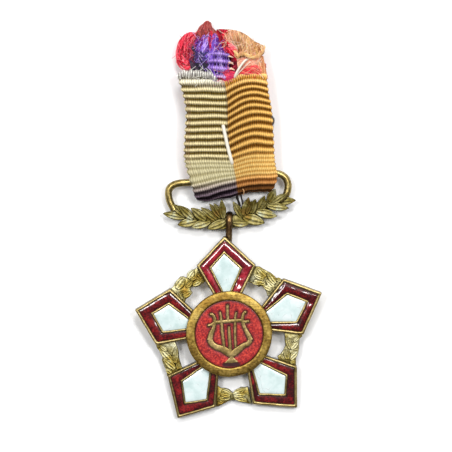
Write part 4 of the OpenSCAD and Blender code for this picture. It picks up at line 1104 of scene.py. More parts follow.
def makeRibbon():
    rows, along = evenRows(smoothPath(ribbonSections, 8), ribbon["step"])
    pitch = np.interp(along, [ribbon["fineFrom"] - 0.3, ribbon["fineFrom"] + 0.4, ribbon["foldFrom"] - 0.4,
        ribbon["foldFrom"] + 0.3, ribbon["backFrom"]], [ribbon["ribPitch"], ribbon["finePitch"],
        ribbon["finePitch"], ribbon["foldPitch"], ribbon["ribPitch"]])
    depth = np.interp(along, [ribbon["fineFrom"] - 0.3, ribbon["fineFrom"] + 0.5, ribbon["foldFrom"] - 0.5,
        ribbon["foldFrom"] + 0.4], [ribbon["ribDepth"], ribbon["fineDepth"], ribbon["fineDepth"],
        ribbon["ribDepth"] * 0.55])
    phase = 2 * np.pi * (np.cumsum(np.gradient(along) / pitch) + ribbon["ribShift"])
    shares = np.concatenate([np.linspace(-1, 0, ribbon["leftColumns"])[:-1],
        np.linspace(0, 1, ribbon["rightColumns"])])
    grid = ribbonLine(rows, shares)
    # the fold hangs lower in the middle of its left half, and its edge is uneven
    folded = (smoothStep(along, 12.4, 14.2) * (1 - smoothStep(along, 15.6, 17.4)))[:, None]
    leftShare = np.clip(-shares, 0, 1)[None]
    grid[..., 1] -= folded * (0.26 * np.sin(np.pi * leftShare ** 1.3) + 0.05)
    grid[..., 1] += 0.16 * folded * noiseAt(grid * [1, 0, 0], 0.9, 33)[..., 1]
    corner = folded * smoothStep(shares, 0.7, 1.0)[None]  # its right corner hangs and is drawn in
    grid[..., 0] -= 0.34 * corner
    grid[..., 1] -= 0.22 * corner
    normal = np.cross(np.gradient(grid, axis=1), -np.gradient(grid, axis=0))
    normal /= np.linalg.norm(normal, axis=2)[..., None]
    wander = noiseAt(grid * [1, 1, 0], 1.9, 12)[..., 0] * 1.1
    # the left half's ribs run level although its rows slope
    level = np.clip(shares, -1, 0)[None] * rows[:, 5][:, None] * (1 - smoothStep(along, 9.2, 10.8))[:, None]
    slant = -0.55 * leftShare * smoothStep(along, 10.8, 12.6)[:, None]
    turns = np.interp((along[:, None] + level + slant).ravel(), along, phase).reshape(level.shape)
    groove = ((1 - np.cos(turns + wander)) / 2) ** 1.3
    crest = 1 - groove
    edgeIn = (1 - np.abs(shares))[None] * 4.7  # mm from the nearer edge
    roundOff = np.sqrt(np.clip(1 - (1 - np.clip(edgeIn / 0.32, 0, 1)) ** 2, 0, 1))
    outer = (ribbon["thick"] / 2 - depth[:, None] * groove) * roundOff
    # ribs bulge past the edge as small loops, most on the left
    bulge = np.where(shares[None] < 0, -0.2, 0.1) * (crest - 0.6) * smoothStep(np.abs(shares), 0.85, 1.0)[None]
    top = grid + normal * (outer + 0.02 * noiseAt(grid, 0.5, 14)[..., 2])[..., None]
    top[..., 0] += bulge
    inner = np.linspace(0, len(shares) - 1, ribbon["innerColumns"]).round().astype(int)[::-1][1:-1]
    low = grid[:, inner] - normal[:, inner] * ribbon["thick"] / 2 * roundOff[:, inner][..., None]
    low[..., 0] += bulge[:, inner]
    part = loft(np.concatenate([top, low], axis=1))
    alongGrid = np.broadcast_to(along[:, None], crest.shape)
    shareGrid = np.broadcast_to(shares[None], crest.shape)
    dye = ribbonDye(shareGrid, alongGrid + 0.5 * slant, crest)
    # a brownish pair of lines just inside the left edge
    for line in (-0.9, -0.955):
        mark = (np.exp(-((shareGrid - line) / 0.014) ** 2) * smoothStep(alongGrid, 3.5, 4.5)
            * (1 - smoothStep(alongGrid, 10, 12)))
        dye = dyeMix(dye, "#8a6650", 0.5 * mark)
    # painted shade: the underside is drawn darker
    part["dye"] = np.concatenate([dye, dye[:, inner] * 0.8], axis=1).reshape(-1, 3)
    width = np.where(shares < 0, shares * 4.5, shares * 4.9)
    weave = np.dstack([np.broadcast_to(width[None], crest.shape), alongGrid])
    part["weave"] = np.concatenate([weave, weave[:, inner]], axis=1).reshape(-1, 2)
    # the warp lies close where the ribs are fine
    close = (smoothStep(along, 9.9, 10.8) * (1 - smoothStep(along, 12.3, 12.9)))[:, None]
    parted = crest + (1.2 - crest) * 0.8 * close
    part["rib"] = np.concatenate([parted, parted[:, inner]], axis=1).ravel()
    return makePiece("ribbonCloth", part, ribbonSilk, ["ribbon"]), float(along[-1])


ribbonPiece, ribbonLength = makeRibbon()
print("ribbon made")


# Folds and frayed ends at the top. Each fold's core keeps the source's form:
# columns x, y, z, half width across the path and half height.
foldPaths = {"redRoll": [(-3.5, 20.4, 1.75, .15, .25), (-3.75, 20.38, 1.72, .4, .5), (-4.22, 20.2, 1.5, .58, .75),
    (-4.72, 19.7, 1.25, .64, .95), (-4.97, 19.0, 1.15, .68, 1.0), (-5.02, 18.2, 1.15, .69, 1.02),
    (-4.9, 17.55, 1.25, .67, .98), (-4.6, 17.15, 1.6, .55, .8), (-4.2, 17.0, 1.85, .4, .55),
    (-3.95, 16.98, 1.9, .15, .25)], "violetTuck": [(-.85, 15.75, 1.7, .7, .4), (-.95, 16.0, 1.9, 1.15, .7),
    (-1.15, 16.7, 2.1, 1.45, .95), (-1.45, 17.5, 2.25, 1.7, 1.1), (-1.68, 18.3, 2.3, 1.75, 1.15),
    (-1.85, 19.1, 2.3, 1.55, 1.1), (-1.95, 19.8, 2.25, 1.2, .9), (-1.98, 20.3, 2.15, .85, .6),
    (-2.0, 20.5, 2.05, .4, .3)], "goldTuck": [(-.85, 20.75, 1.95, .25, .3), (-.55, 20.62, 2.0, .5, .55),
    (.2, 20.2, 2.1, .8, .85), (1.0, 19.7, 2.15, 1.05, 1.0), (1.75, 19.35, 2.15, 1.1, 1.02),
    (2.5, 19.05, 2.1, 1.02, 1.0), (3.3, 18.8, 2.05, .8, .9), (3.8, 18.72, 1.95, .45, .55),
    (3.98, 18.7, 1.9, .2, .25)], "redTuck": [(.55, 16.4, 1.9, .25, .3), (.85, 16.65, 2.0, .5, .6),
    (1.4, 17.0, 2.05, .68, .85), (2.2, 17.12, 2.05, .72, .92), (3.0, 17.15, 2.05, .7, .92),
    (3.7, 17.15, 2.0, .55, .8), (4.15, 17.15, 1.9, .25, .4)], "redPeak": [(-2.75, 19.35, .55, .8, .42),
    (-2.65, 19.9, .58, 1.0, .5), (-2.57, 20.6, .6, .9, .52), (-2.4, 21.15, .6, .6, .5),
    (-2.25, 21.65, .55, .3, .38), (-2.2, 22.0, .5, .1, .2)]}


# how finely a core is cut, its size beside the threads round it, and the depth of its pleats
foldCore = {"steps": 6, "sides": 72, "scale": 0.9, "pleatDepth": 0.14}


def foldSkin(name, pleats):
    rows = smoothPath(foldPaths[name], foldCore["steps"])
    along = np.gradient(rows[:, :2], axis=0)
    along /= np.linalg.norm(along, axis=1)[:, None]
    side = np.column_stack([-along[:, 1], along[:, 0], np.zeros(len(rows))])
    angles = 2 * np.pi * np.arange(foldCore["sides"]) / foldCore["sides"]
    swell = foldCore["scale"] * (1 - foldCore["pleatDepth"] * (0.5 + 0.5 * np.cos(angles * pleats)))
    rings = rows[:, None, :3] + (np.cos(angles) * swell)[None, :, None] * (rows[:, 3][:, None] * side)[:, None]
    rings[..., 2] += (np.sin(angles) * swell)[None] * rows[:, 4][:, None]
    return rings


def corePart(name, low, high, pleats):
    rings = foldSkin(name, pleats)
    rings = rings + 0.1 * noiseAt(rings, 0.9, len(name))
    part = loft(rings)
    tone = noiseAt(part["points"], 0.7, 3)[:, 0]
    part["dye"] = dyeMix(low, high, np.clip(0.5 + 0.9 * tone, 0, 1))
    count, sides = rings.shape[:2]
    part["weave"] = np.column_stack([np.tile(np.arange(sides) * 0.09, count),
        np.repeat(np.arange(count) * 0.15, sides)])
    return part


def strandsRound(name, count, radius, twist, seed, scale=1.0, points=26, short=None):
    # threads that follow a fold's skin, turning slowly round it, and stay just inside its two ends
    low, high = 0.02, 0.98
    rows = smoothPath(foldPaths[name], 8)
    rng = np.random.default_rng(seed)
    side, _ = frames(rows[:, :3])
    strands = []
    for k in range(count):
        start, end = low + rng.uniform(0, 0.12), high - rng.uniform(0, 0.12)
        if short:
            start = rng.uniform(low, high - short)
            end = start + short
        t = np.linspace(start, end, points) * (len(rows) - 1)
        at = np.column_stack([np.interp(t, np.arange(len(rows)), rows[:, c]) for c in range(5)])
        across = np.column_stack([np.interp(t, np.arange(len(rows)), side[:, c]) for c in range(3)])
        angle = (2 * np.pi * (k + rng.uniform(-0.4, 0.4)) / count
            + twist * np.linspace(0, 1, points) * rng.uniform(0.4, 1.6))
        angle = angle + 0.3 * np.sin(np.linspace(0, rng.uniform(5, 14), points) + rng.uniform(0, 6))
        grow = scale + rng.uniform(-0.12, 0.09) + 0.04 * np.sin(np.linspace(0, 20, points) + rng.uniform(0, 6))
        path = at[:, :3] + (np.cos(angle) * at[:, 3] * grow)[:, None] * across
        path[:, 2] += np.sin(angle) * at[:, 4] * grow
        taper = np.clip(np.minimum(np.arange(points), points - 1 - np.arange(points)) / 3, 0.35, 1)
        strands.append((path, radius * rng.uniform(0.7, 1.25) * taper, rng.uniform(0.05, 0.95)))
    return strands


# Crumpled pieces of cloth: a smooth sheet through rows of (pixel x, pixel y, height)
def surface(rows, down=6, across=6):
    rows = np.array([[fromPhoto(*p) for p in row] for row in rows])
    m, n = rows.shape[:2]
    grid = smoothPath(rows.reshape(m, -1), down).reshape(-1, n, 3)
    turned = smoothPath(grid.transpose(1, 0, 2).reshape(n, -1), across).reshape(-1, grid.shape[0], 3)
    return turned.transpose(1, 0, 2)


def surfaceNormals(grid):
    normal = np.cross(np.gradient(grid, axis=1), -np.gradient(grid, axis=0))
    return normal / np.maximum(np.linalg.norm(normal, axis=2), 1e-9)[..., None]


def sheetShares(grid):
    m, n = grid.shape[:2]
    return np.meshgrid(np.linspace(0, 1, m), np.linspace(0, 1, n), indexing="ij")


def shellPart(grid, thick, dye):
    m, n = grid.shape[:2]
    low = grid - surfaceNormals(grid) * thick
    points = np.concatenate([grid.reshape(-1, 3), low.reshape(-1, 3)])
    faces = []

    def at(i, j, under):
        return under * m * n + i * n + j
    for i in range(m - 1):
        for j in range(n - 1):
            faces.append((at(i, j, 0), at(i + 1, j, 0), at(i + 1, j + 1, 0), at(i, j + 1, 0)))
            faces.append((at(i, j, 1), at(i, j + 1, 1), at(i + 1, j + 1, 1), at(i + 1, j, 1)))
    for j in range(n - 1):
        faces.append((at(0, j, 0), at(0, j + 1, 0), at(0, j + 1, 1), at(0, j, 1)))
        faces.append((at(m - 1, j + 1, 0), at(m - 1, j, 0), at(m - 1, j, 1), at(m - 1, j + 1, 1)))
    for i in range(m - 1):
        faces.append((at(i + 1, 0, 0), at(i, 0, 0), at(i, 0, 1), at(i + 1, 0, 1)))
        faces.append((at(i, n - 1, 0), at(i + 1, n - 1, 0), at(i + 1, n - 1, 1), at(i, n - 1, 1)))
    downward = np.cumsum(np.concatenate([np.zeros((1, n)), np.linalg.norm(np.diff(grid, axis=0), axis=2)]), axis=0)
    sideways = np.cumsum(np.concatenate([np.zeros((m, 1)), np.linalg.norm(np.diff(grid, axis=1), axis=2)], axis=1),
        axis=1)
    weave = np.dstack([sideways, downward]).reshape(-1, 2)
    flat = np.asarray(dye).reshape(-1, 3)
    # painted shade: the underside is drawn darker
    return {"points": points, "faces": faces, "dye": np.concatenate([flat, flat * 0.6]),
        "weave": np.concatenate([weave, weave])}


def strandsOver(grid, count, radius, seed, span=(0.0, 1.0), lift=0.05, overhang=(0.0, 0.0), stray=0.06,
        turned=False, points=14, tints=((0, 0.5), (1, 0.5))):
    # threads that lie on a sheet from its upper to its lower edge, or across it when turned
    rng = np.random.default_rng(seed)
    if turned:
        grid = grid.transpose(1, 0, 2)
    normal = surfaceNormals(grid)
    if normal[..., 2].mean() < 0:
        normal = -normal
    m, n = grid.shape[:2]
    strands = []
    for k in range(count):
        u = (k + rng.uniform(-0.5, 0.5)) / count + stray * np.sin(np.linspace(0, 3, points) + rng.uniform(0, 6)) * 0.5
        v = np.linspace(span[0] + rng.uniform(0, 0.15), span[1] - rng.uniform(0, 0.15), points)
        i = np.clip(v * (m - 1), 0, m - 1.001)
        j = np.clip(np.clip(u, 0, 1) * (n - 1), 0, n - 1.001)
        a, b = i.astype(int), j.astype(int)
        f, g = (i - a)[:, None], (j - b)[:, None]
        at, out = [(1 - f) * (1 - g) * field[a, b] + f * (1 - g) * field[a + 1, b] + (1 - f) * g * field[a, b + 1]
            + f * g * field[a + 1, b + 1] for field in (grid, normal)]
        path = list(at + out * (lift + rng.uniform(-0.02, 0.05)))
        for end, reach in ((0, overhang[0]), (-1, overhang[1])):
            if reach > 0:
                step = path[end] - path[1 if end == 0 else -2]
                step = step / np.linalg.norm(step)
                bend, far = rng.uniform(-0.5, 0.5, 3), reach * rng.uniform(0.3, 1.0)
                extra = [path[end] + (step + bend * s) * far * s for s in (0.35, 0.7, 1.0)]
                path = extra[::-1] + path if end == 0 else path + extra
        tint = np.interp((k + 0.5) / count, [p for p, q in tints], [q for p, q in tints]) + rng.uniform(-0.35, 0.35)
        strands.append((np.array(path), radius * rng.uniform(0.7, 1.25), min(max(tint, 0.03), 0.97)))
    return strands


def threadsOver(name, grid, count, radius, seed, material, slot, **how):
    threadPiece(name, strandsOver(grid, count, radius, seed, **how), material)


# fuzz: short bent fibres strewn round places (pixel x, pixel y, height, spread in mm)
def fuzz(places, count, length, radius, seed, tint=0.5):
    rng = np.random.default_rng(seed)
    strands = []
    for k in range(count):
        px, py, z, spread = places[k % len(places)]
        start = fromPhoto(px, py, z) + rng.uniform(-1, 1, 3) * [spread, spread, 0.12]
        step, bend = rng.uniform(-1, 1, 3) * [1, 1, 0.15], rng.uniform(-1, 1, 3) * [1, 1, 0.1]
        reach = length * rng.uniform(0.4, 1.0)
        path = np.array([start + (step + bend * s * 1.4) * s * reach for s in np.linspace(0, 1, 7)])
        path[:, 2] = np.clip(path[:, 2], 0.3, 3.62)
        strands.append((path, radius * rng.uniform(0.6, 1.2), min(max(tint + rng.uniform(-0.4, 0.4), 0.03), 0.97)))
    return strands


violetTints = ((0, 0.03), (0.1, 0.12), (0.2, 0.02), (0.29, 0.8), (0.42, 0.85), (0.49, 0.08), (0.56, 0.55),
    (0.68, 0.8), (0.77, 0.35), (0.86, 0.02), (1, 0.02))
goldTints = ((0, 0.1), (0.25, 0.35), (0.5, 0.5), (0.75, 0.7), (1, 0.85))


def blotches(grid, size, seed, strength=0.6):
    return np.clip(0.5 + strength * noiseAt(grid, size, seed)[..., 0], 0, 1)


clothThick = 0.2


def clothPiece(name, rows, low, high, size=0.5, seed=1, crumple=0.1, down=7, across=8):
    grid = surface(rows, down, across)
    grid = grid + surfaceNormals(grid) * (crumple * noiseAt(grid, 0.7, seed)[..., 2])[..., None]
    tone = dyeMix(low, high, blotches(grid, size, seed + 1, 1.0))
    makePiece(name, shellPart(grid, clothThick, tone), frayedSilk)
    return grid


# The frayed end, cloth by cloth. First the folds' cores and the threads round the rolled one.
def makeFoldCores():
    for name, low, high, pleats, slot, node in (("redRoll", "#b01830", "#ea4058", 10, "red_silk", "red_roll"),
            ("violetTuck", "#2c1c60", "#5a44ae", 14, "violet_silk", "violet_tuck"),
            ("goldTuck", "#b87848", "#e0ac78", 16, "gold_silk", "gold_tuck"),
            ("redTuck", "#b82a34", "#f07058", 12, "red_silk", "red_tuck"),
            ("redPeak", "#8a3230", "#b85048", 8, "red_silk", "red_peak")):
        makePiece(name + "Core", corePart(name, low, high, pleats), frayedSilk, [node])
    curls = strandsRound("redRoll", 220, 0.034, 1.1, 7, scale=1.03, points=9, short=0.13)
    threadPiece("redRollThreads", strandsRound("redRoll", 220, 0.038, 1.6, 1) + curls, redThreads)


# The peak of red brown cloth and its lower part that lies over the violet.
def makePeak():
    peak = clothPiece("peakCloth", [[(204.5, 23.0, .9), (206.3, 21.0, 1.0), (208.6, 20.7, 1.0), (210.3, 22.4, .9)],
        [(200.3, 26.4, 1.1), (204, 25, 1.35), (208, 25, 1.4), (211.4, 26.6, 1.1)],
        [(197.5, 31, 1.4), (203, 29.5, 1.9), (208.5, 29.5, 2.0), (214, 30.5, 1.7)],
        [(194.5, 35.6, 1.8), (202, 34, 2.5), (209, 33.5, 2.7), (219, 34, 2.4)],
        [(194.5, 39, 1.9), (202, 37.5, 2.6), (209, 37, 2.8), (219, 38, 2.6)]], "#642022", "#a04038",
        0.6, 3)
    threadsOver("peakThreads", peak, 90, 0.03, 4, rustThreads, "red_silk", lift=0.04, overhang=(0.0, 0.35), stray=0.3)


# Violet cloth with its threads running down.
def makeViolet():
    violet = surface([
        [(199, 37, 2.1), (204, 35.5, 2.5), (210, 35, 2.6), (216, 34.5, 2.6), (222, 33, 2.3)],
        [(196, 44, 2.3), (203, 42, 3.0), (209, 42, 3.1), (215, 42, 3.1), (223, 42, 2.8)],
        [(192, 52, 2.2), (199, 51, 3.0), (207, 51, 3.25), (215, 51, 3.2), (225, 50, 2.9)],
        [(190, 61, 2.0), (198, 61, 2.7), (206, 60, 3.1), (213, 57, 3.15), (222, 54, 3.0)]], 9, 12)
    v, u = sheetShares(violet)
    wave = np.sin(2 * np.pi * (u * 4.6 + 0.25 * np.sin(3 * v)))
    violet = violet + surfaceNormals(violet) * (0.14 * wave + 0.1 * noiseAt(violet, 0.8, 5)[..., 2])[..., None]
    # painted shade and highlight: drawn lighter on the folds' crests and darker in their troughs
    tone = dyeMix("#3c1e78", "#8c62d8", np.clip(0.5 + 0.5 * wave, 0, 1))
    tone = dyeMix(tone, "#5c1a48", (1 - smoothStep(u, 0.1, 0.26)) * smoothStep(v, 0.15, 0.4) * 0.85)
    tone = dyeMix(tone, "#8c1c56", np.exp(-((u - 0.5) / 0.06) ** 2) * (1 - smoothStep(v, 0.35, 0.7)) * 0.9)
    tone = dyeMix(tone, "#7a1230", smoothStep(u, 0.8, 0.92) * (1 - smoothStep(v, 0.4, 0.8)))
    # painted shade: the lower left is drawn dark slate, as the cloth beside it
    tone = dyeMix(tone, "#2e2c44", smoothStep(v, 0.45, 0.9) * (1 - smoothStep(u, 0.25, 0.6)) * 0.85)
    makePiece("violetCloth", shellPart(violet, clothThick, tone), frayedSilk)
    threadsOver("violetThreads", violet, 250, 0.03, 11, violetThreads, "violet_silk", overhang=(0.0, 0.35),
        stray=0.12, tints=violetTints)
    m, n = violet.shape[:2]
    shadedCorner = violet[int(0.74 * m):, int(0.1 * n):int(0.56 * n)]  # its lower left part is drawn dark: painted shade
    threadsOver("duskThreads", shadedCorner, 70, 0.028, 13, duskThreads, "violet_silk", lift=0.09, overhang=(0.4, 0.45),
        stray=0.3, tints=((0, 0.5), (0.5, 0.2), (1, 0.5)))
    crossing = surface([[(209.5, 33, 3.0), (213, 33, 3.0)], [(208.5, 40, 3.4), (211.5, 40, 3.4)],
        [(209, 46, 3.45), (211, 46, 3.45)]], 6, 6)
    threadsOver("crossingRedThreads", crossing, 10, 0.02, 12, redThreads, "red_silk", lift=0.06,
        overhang=(0.4, 0.6), stray=0.6, tints=((0, 0.05), (1, 0.25)))


# The violet cloth's ribs, below on the right, combed by their warp.
def makeVioletRibs():
    ribs = surface([[(208.5, 54, 3.0), (214, 52.5, 3.3), (221, 52.5, 3.3), (228, 54, 3.0)],
        [(208, 60.5, 2.95), (214, 60, 3.35), (221, 60, 3.35), (229.5, 61, 2.9)],
        [(208, 67.5, 2.85), (214, 68, 3.3), (221, 68.5, 3.3), (229.5, 69.5, 2.9)],
        [(211, 75.5, 2.9), (216, 77.5, 3.3), (222, 78.5, 3.3), (229, 78.5, 2.9)]], 16, 14)
    v, u = sheetShares(ribs)
    wave = 0.5 - 0.5 * np.cos(2 * np.pi * (v * 3.5 + 0.12 + 0.03 * np.sin(5 * u)))
    ribs = ribs + surfaceNormals(ribs) * (0.28 * wave)[..., None]
    # painted shade and highlight: the ribs are drawn light on their crests and dark in their grooves, and dark slate
    # at the lower left
    tone = dyeMix("#24083c", "#c8a2f4", wave ** 1.2)
    tone = dyeMix(tone, "#3a3044", (1 - smoothStep(u, 0.0, 0.25)) * smoothStep(v, 0.4, 0.7) * 0.7)
    tone = dyeMix(tone, "#dca8cc", smoothStep(v, 0.86, 0.96) * 0.9)
    part = shellPart(ribs, 0.3, tone)
    part["rib"] = np.tile(wave.ravel(), 2) * 0.2
    makePiece("violetRibs", part, frayedSilk)
    threadsOver("violetRibThreads", ribs, 16, 0.026, 14, violetThreads, "violet_silk", lift=0.02,
        overhang=(0.35, 0.2), stray=0.1, points=44, tints=((0, 0.6), (1, 0.9)))


# Slate cloth and threads at the lower left of the violet: painted shade, a dark sheet in the hollow between the red
# roll and the violet.
def makeShadePocket():
    slate = clothPiece("slateCloth", [[(190, 48, 2.3), (194, 49, 2.6), (197.5, 52, 2.85), (203, 57.5, 2.9)],
        [(190, 57, 2.3), (196.5, 57, 2.7), (201, 59, 2.9), (208, 62, 2.9)],
        [(191, 64, 2.35), (198, 65, 2.75), (204, 66, 3.0), (209, 68, 3.0)],
        [(192, 70, 2.3), (199, 71.5, 2.7), (205, 73.5, 2.85), (212, 75, 2.85)]], "#120e16",
        "#5c2444", 0.6, 6, 0.14, 7, 9)
    threadsOver("slateThreads", slate, 120, 0.026, 15, slateThreads, "violet_silk", overhang=(0.4, 0.3),
        stray=0.5, tints=((0, 0.7), (0.3, 0.5), (0.6, 0.2), (1, 0.4)))


# Dark red streaks right of the violet, then bright red folds.
def makeRedFolds():
    streaks = clothPiece("maroonStreaks", [
        [(216.5, 30, 2.3), (221, 29.2, 2.4), (227, 30.2, 2.2)], [(219, 38, 2.95), (222.5, 38, 3.1), (228, 40, 2.9)],
        [(222, 45, 3.05), (226, 46, 3.15), (230, 48, 3.0)]], "#48081c", "#86183c", 0.4, 8)
    threadsOver("maroonThreads", streaks, 60, 0.026, 16, redThreads, "red_silk", overhang=(0.0, 0.5),
        stray=0.4, tints=((0, 0.02), (0.6, 0.12), (1, 0.3)))
    fold = clothPiece("redFold", [[(224, 42, 2.8), (229, 43.5, 3.0), (233.5, 46, 2.95), (236.5, 50, 2.8)],
        [(223.5, 47, 2.95), (228.5, 49.5, 3.2), (233, 52.5, 3.15), (236.5, 55, 2.9)],
        [(224, 51, 2.7), (229, 55, 2.85), (233, 58.5, 2.8), (236, 61, 2.6)]], "#a80c22", "#e82c3e", 0.4,
        9)
    threadsOver("redFoldThreads", fold, 60, 0.028, 17, redThreads, "red_silk", turned=True, overhang=(0.3, 0.2),
        stray=0.3, tints=((0, 0.7), (0.5, 0.6), (1, 0.05)))
    clothPiece("maroonFold", [[(231, 56, 2.6), (236, 57, 2.7), (240, 59, 2.6)],
        [(231, 63, 2.6), (236, 64, 2.8), (240, 65, 2.7)], [(230, 70, 2.6), (236, 71, 2.7), (240, 72, 2.6)]],
        "#5c1020", "#a02c3c", 0.4, 10)
    pink = clothPiece("pinkFold", [[(222.5, 73.5, 2.8), (227.5, 71.5, 3.1), (233, 72.5, 3.1)],
        [(223, 77, 3.1), (228, 76.5, 3.4), (234, 75.5, 3.2)], [(223.5, 82, 3.0), (227.5, 80.5, 3.3),
        (232, 78.5, 3.1)]], "#a82450", "#e04058", 0.5, 11)
    threadsOver("pinkThreads", pink, 70, 0.03, 18, pinkThreads, "red_silk", turned=True, overhang=(0.35, 0.3),
        stray=0.5, tints=((0, 0.3), (1, 0.7)))


# The gold cloth: peach where the red bled into it, in soft upright folds.
def makeGold():
    gold = surface([[(220, 29, 1.7), (229, 29.2, 1.9), (238, 30.8, 2.0), (246, 34.5, 2.0), (255, 41.3, 1.9),
        (263.2, 45.2, 1.7)], [(222, 34, 2.5), (230, 34, 2.9), (238, 36, 3.0), (246, 40, 3.0), (254.5, 45, 2.9),
        (264.5, 48.5, 2.3)], [(225, 39, 2.8), (231.5, 41, 3.1), (238, 44.5, 3.2), (246, 48, 3.2), (254, 51, 3.1),
        (263.5, 52.5, 2.4)], [(229, 42.5, 2.7), (234, 47, 2.9), (238, 52, 3.0), (246, 55, 3.0), (253.5, 57, 2.9),
        (261, 57.5, 2.4)]], 9, 16)
    v, u = sheetShares(gold)
    wave = (np.sin(2 * np.pi * (u * 9 + 0.5 * np.sin(4 * v + 2 * u)))
        + 0.5 * np.sin(2 * np.pi * (u * 13 + 0.3 * np.sin(5 * v))))
    gold = gold + surfaceNormals(gold) * ((0.11 * wave + 0.3 * noiseAt(gold, 1.1, 9)[..., 2])
        * smoothStep(v, 0.0, 0.22))[..., None]
    # painted light: lighter on the crests of its folds, over random blotches
    tone = dyeMix("#a4643a", "#f8d09c", np.clip(0.6 + 0.2 * wave + 1.6 * noiseAt(gold, 0.7, 10)[..., 0], 0, 1))
    tone = dyeMix(tone, "#e4b05c", smoothStep(u, 0.62, 0.9) * 0.7)
    tone = dyeMix(tone, "#f6b4a0", (1 - smoothStep(u, 0.1, 0.45)) * 0.75)
    tone = dyeMix(tone, "#6a2420", (1 - smoothStep(u, 0.02, 0.16)) * (1 - smoothStep(v, 0.1, 0.5)))
    tone = dyeMix(tone, "#6a4a34", (1 - smoothStep(v, 0.0, 0.08)) * 0.7)
    makePiece("goldCloth", shellPart(gold, clothThick, tone), frayedSilk)
    threadsOver("goldThreads", gold, 50, 0.022, 21, goldThreads, "gold_silk", lift=0.015, overhang=(0.0, 0.1),
        stray=0.2, tints=goldTints)


# The gold cloth's rolled lower edge: threads wound round a line along it.
rolledEdge = {"threads": 120, "radius": 0.17, "threadR": 0.034, "uneven": 0.07, "seed": 31}


def makeGoldEdge():
    rim = photoPath([(235.4, 49.5, 3.1), (235.6, 53, 3.25), (237.4, 56.8, 3.3), (240.2, 54.6, 3.3),
        (245, 54.4, 3.35), (250, 56.4, 3.35), (254.5, 57.2, 3.25), (258.6, 55.8, 3.1), (261.6, 51.5, 2.9),
        (263.6, 46.5, 2.6)], 8)
    rng = np.random.default_rng(rolledEdge["seed"])
    rim = rim + rolledEdge["uneven"] * noiseAt(rim, 0.5, 19)
    side, lift = frames(rim)
    cream = []
    for k in range(rolledEdge["threads"]):
        first = int(rng.uniform(0, 0.85) * len(rim))
        last = min(len(rim), first + int(rng.uniform(0.1, 0.25) * len(rim)))
        t = np.linspace(0, 1, last - first)
        angle = rng.uniform(0, 2 * np.pi) + t * rng.uniform(2, 6)
        reach = rolledEdge["radius"] * rng.uniform(0.3, 1.5)
        path = rim[first:last] + reach * (np.cos(angle)[:, None] * side[first:last]
            + np.sin(angle)[:, None] * lift[first:last])
        cream.append((path, rolledEdge["threadR"] * np.clip(np.minimum(t, 1 - t) * 8, 0.4, 1), rng.uniform(0.3, 1.0)))
    threadPiece("goldRolledEdge", cream, goldThreads)


# The peach fringe, the red cloth in it and its golden right edge.
def makeFringe():
    fringe = clothPiece("peachCloth", [[(237, 59, 2.6), (245, 58, 2.8), (254, 59, 2.8), (262.5, 57.5, 2.4)],
        [(238, 65, 2.7), (246, 65, 2.9), (255, 65.5, 2.9), (264.5, 65, 2.5)],
        [(239, 72, 2.7), (247, 73, 2.9), (256, 73.5, 2.9), (266, 75.5, 2.7)]], "#b8623c", "#eeb488",
        0.5, 20, 0.14, 9, 12)
    threadsOver("peachThreads", fringe, 190, 0.027, 22, peachThreads, "gold_silk", lift=0.06, stray=0.5,
        overhang=(0.2, 0.3), tints=((0, 0.7), (0.5, 0.55), (1, 0.6)))
    band = clothPiece("redBand", [[(242, 68, 2.9), (247, 67, 3.05), (254, 65.5, 3.1), (260, 67, 2.95)],
        [(240, 72, 3.0), (247, 70.5, 3.2), (254, 69, 3.25), (260, 71, 3.05)],
        [(237.5, 76.5, 2.9), (247, 75, 3.05), (254, 73.5, 3.1), (260, 75, 2.9)]], "#8c0e10", "#e84434",
        0.4, 23)
    threadsOver("bandPeachThreads", band, 36, 0.026, 25, peachThreads, "gold_silk", turned=True, lift=0.07,
        stray=0.7, overhang=(0.4, 0.3), tints=((0, 0.3), (1, 0.2)))
    threadsOver("redBandThreads", band, 56, 0.028, 24, redThreads, "red_silk", turned=True, stray=0.6,
        overhang=(0.4, 0.3), tints=((0, 0.36), (1, 0.42)))
    hanging = surface([[(255, 59, 2.7), (262.8, 57, 2.5)], [(258, 66, 2.95), (264.6, 66, 2.75)],
        [(259, 73.5, 3.0), (266.6, 76.5, 2.8)]], 8, 6)
    threadsOver("goldEdgeThreads", hanging, 46, 0.034, 26, goldThreads, "gold_silk", lift=0.06, stray=0.4,
        overhang=(0.2, 0.3), tints=((0, 0.5), (1, 0.05)))


# The ribbon's bleached upper left edge, its warp standing up in loops.
# Pixels from, to and by; the edge's pixels x and y; thread radii in mm.
warpLoops = {"fromToBy": (177.6, 216.5, 0.58), "edge": ([177, 184, 200, 212, 226], [74.5, 71.0, 70.8, 73.6, 80.0]),
    "boldEvery": 4, "boldR": 0.07, "fineR": 0.034, "seed": 41}


def makeWarpLoops():
    rng = np.random.default_rng(warpLoops["seed"])
    comb = []
    for k, px in enumerate(np.arange(*warpLoops["fromToBy"])):
        bold = k % warpLoops["boldEvery"] == 0
        px = px + rng.uniform(-0.2, 0.2)
        top = np.interp(px, *warpLoops["edge"]) + rng.uniform(-0.8, 0.8)
        low = top + rng.uniform(4.5, 7.0)
        points = [(px + rng.uniform(-0.4, 0.4), low, 3.3), (px, (low + top) / 2, 3.56), (px, top + 1.5, 3.5),
            (px + rng.uniform(-0.5, 0.5), top, 3.0), (px, top + 1.0, 2.4)]
        # painted shade: the fine loops take the ramp's darker greys, between the bold white ones
        comb.append((photoPath(points, 4), warpLoops["boldR" if bold else "fineR"],
            rng.uniform(0.75, 1.0) if bold else rng.uniform(0.05, 0.6)))
    threadPiece("bleachedLoops", comb, paleThreads)


# Stray fibres of every colour, with their size in mm.
strayFibres = {"length": 0.75, "radius": 0.017}


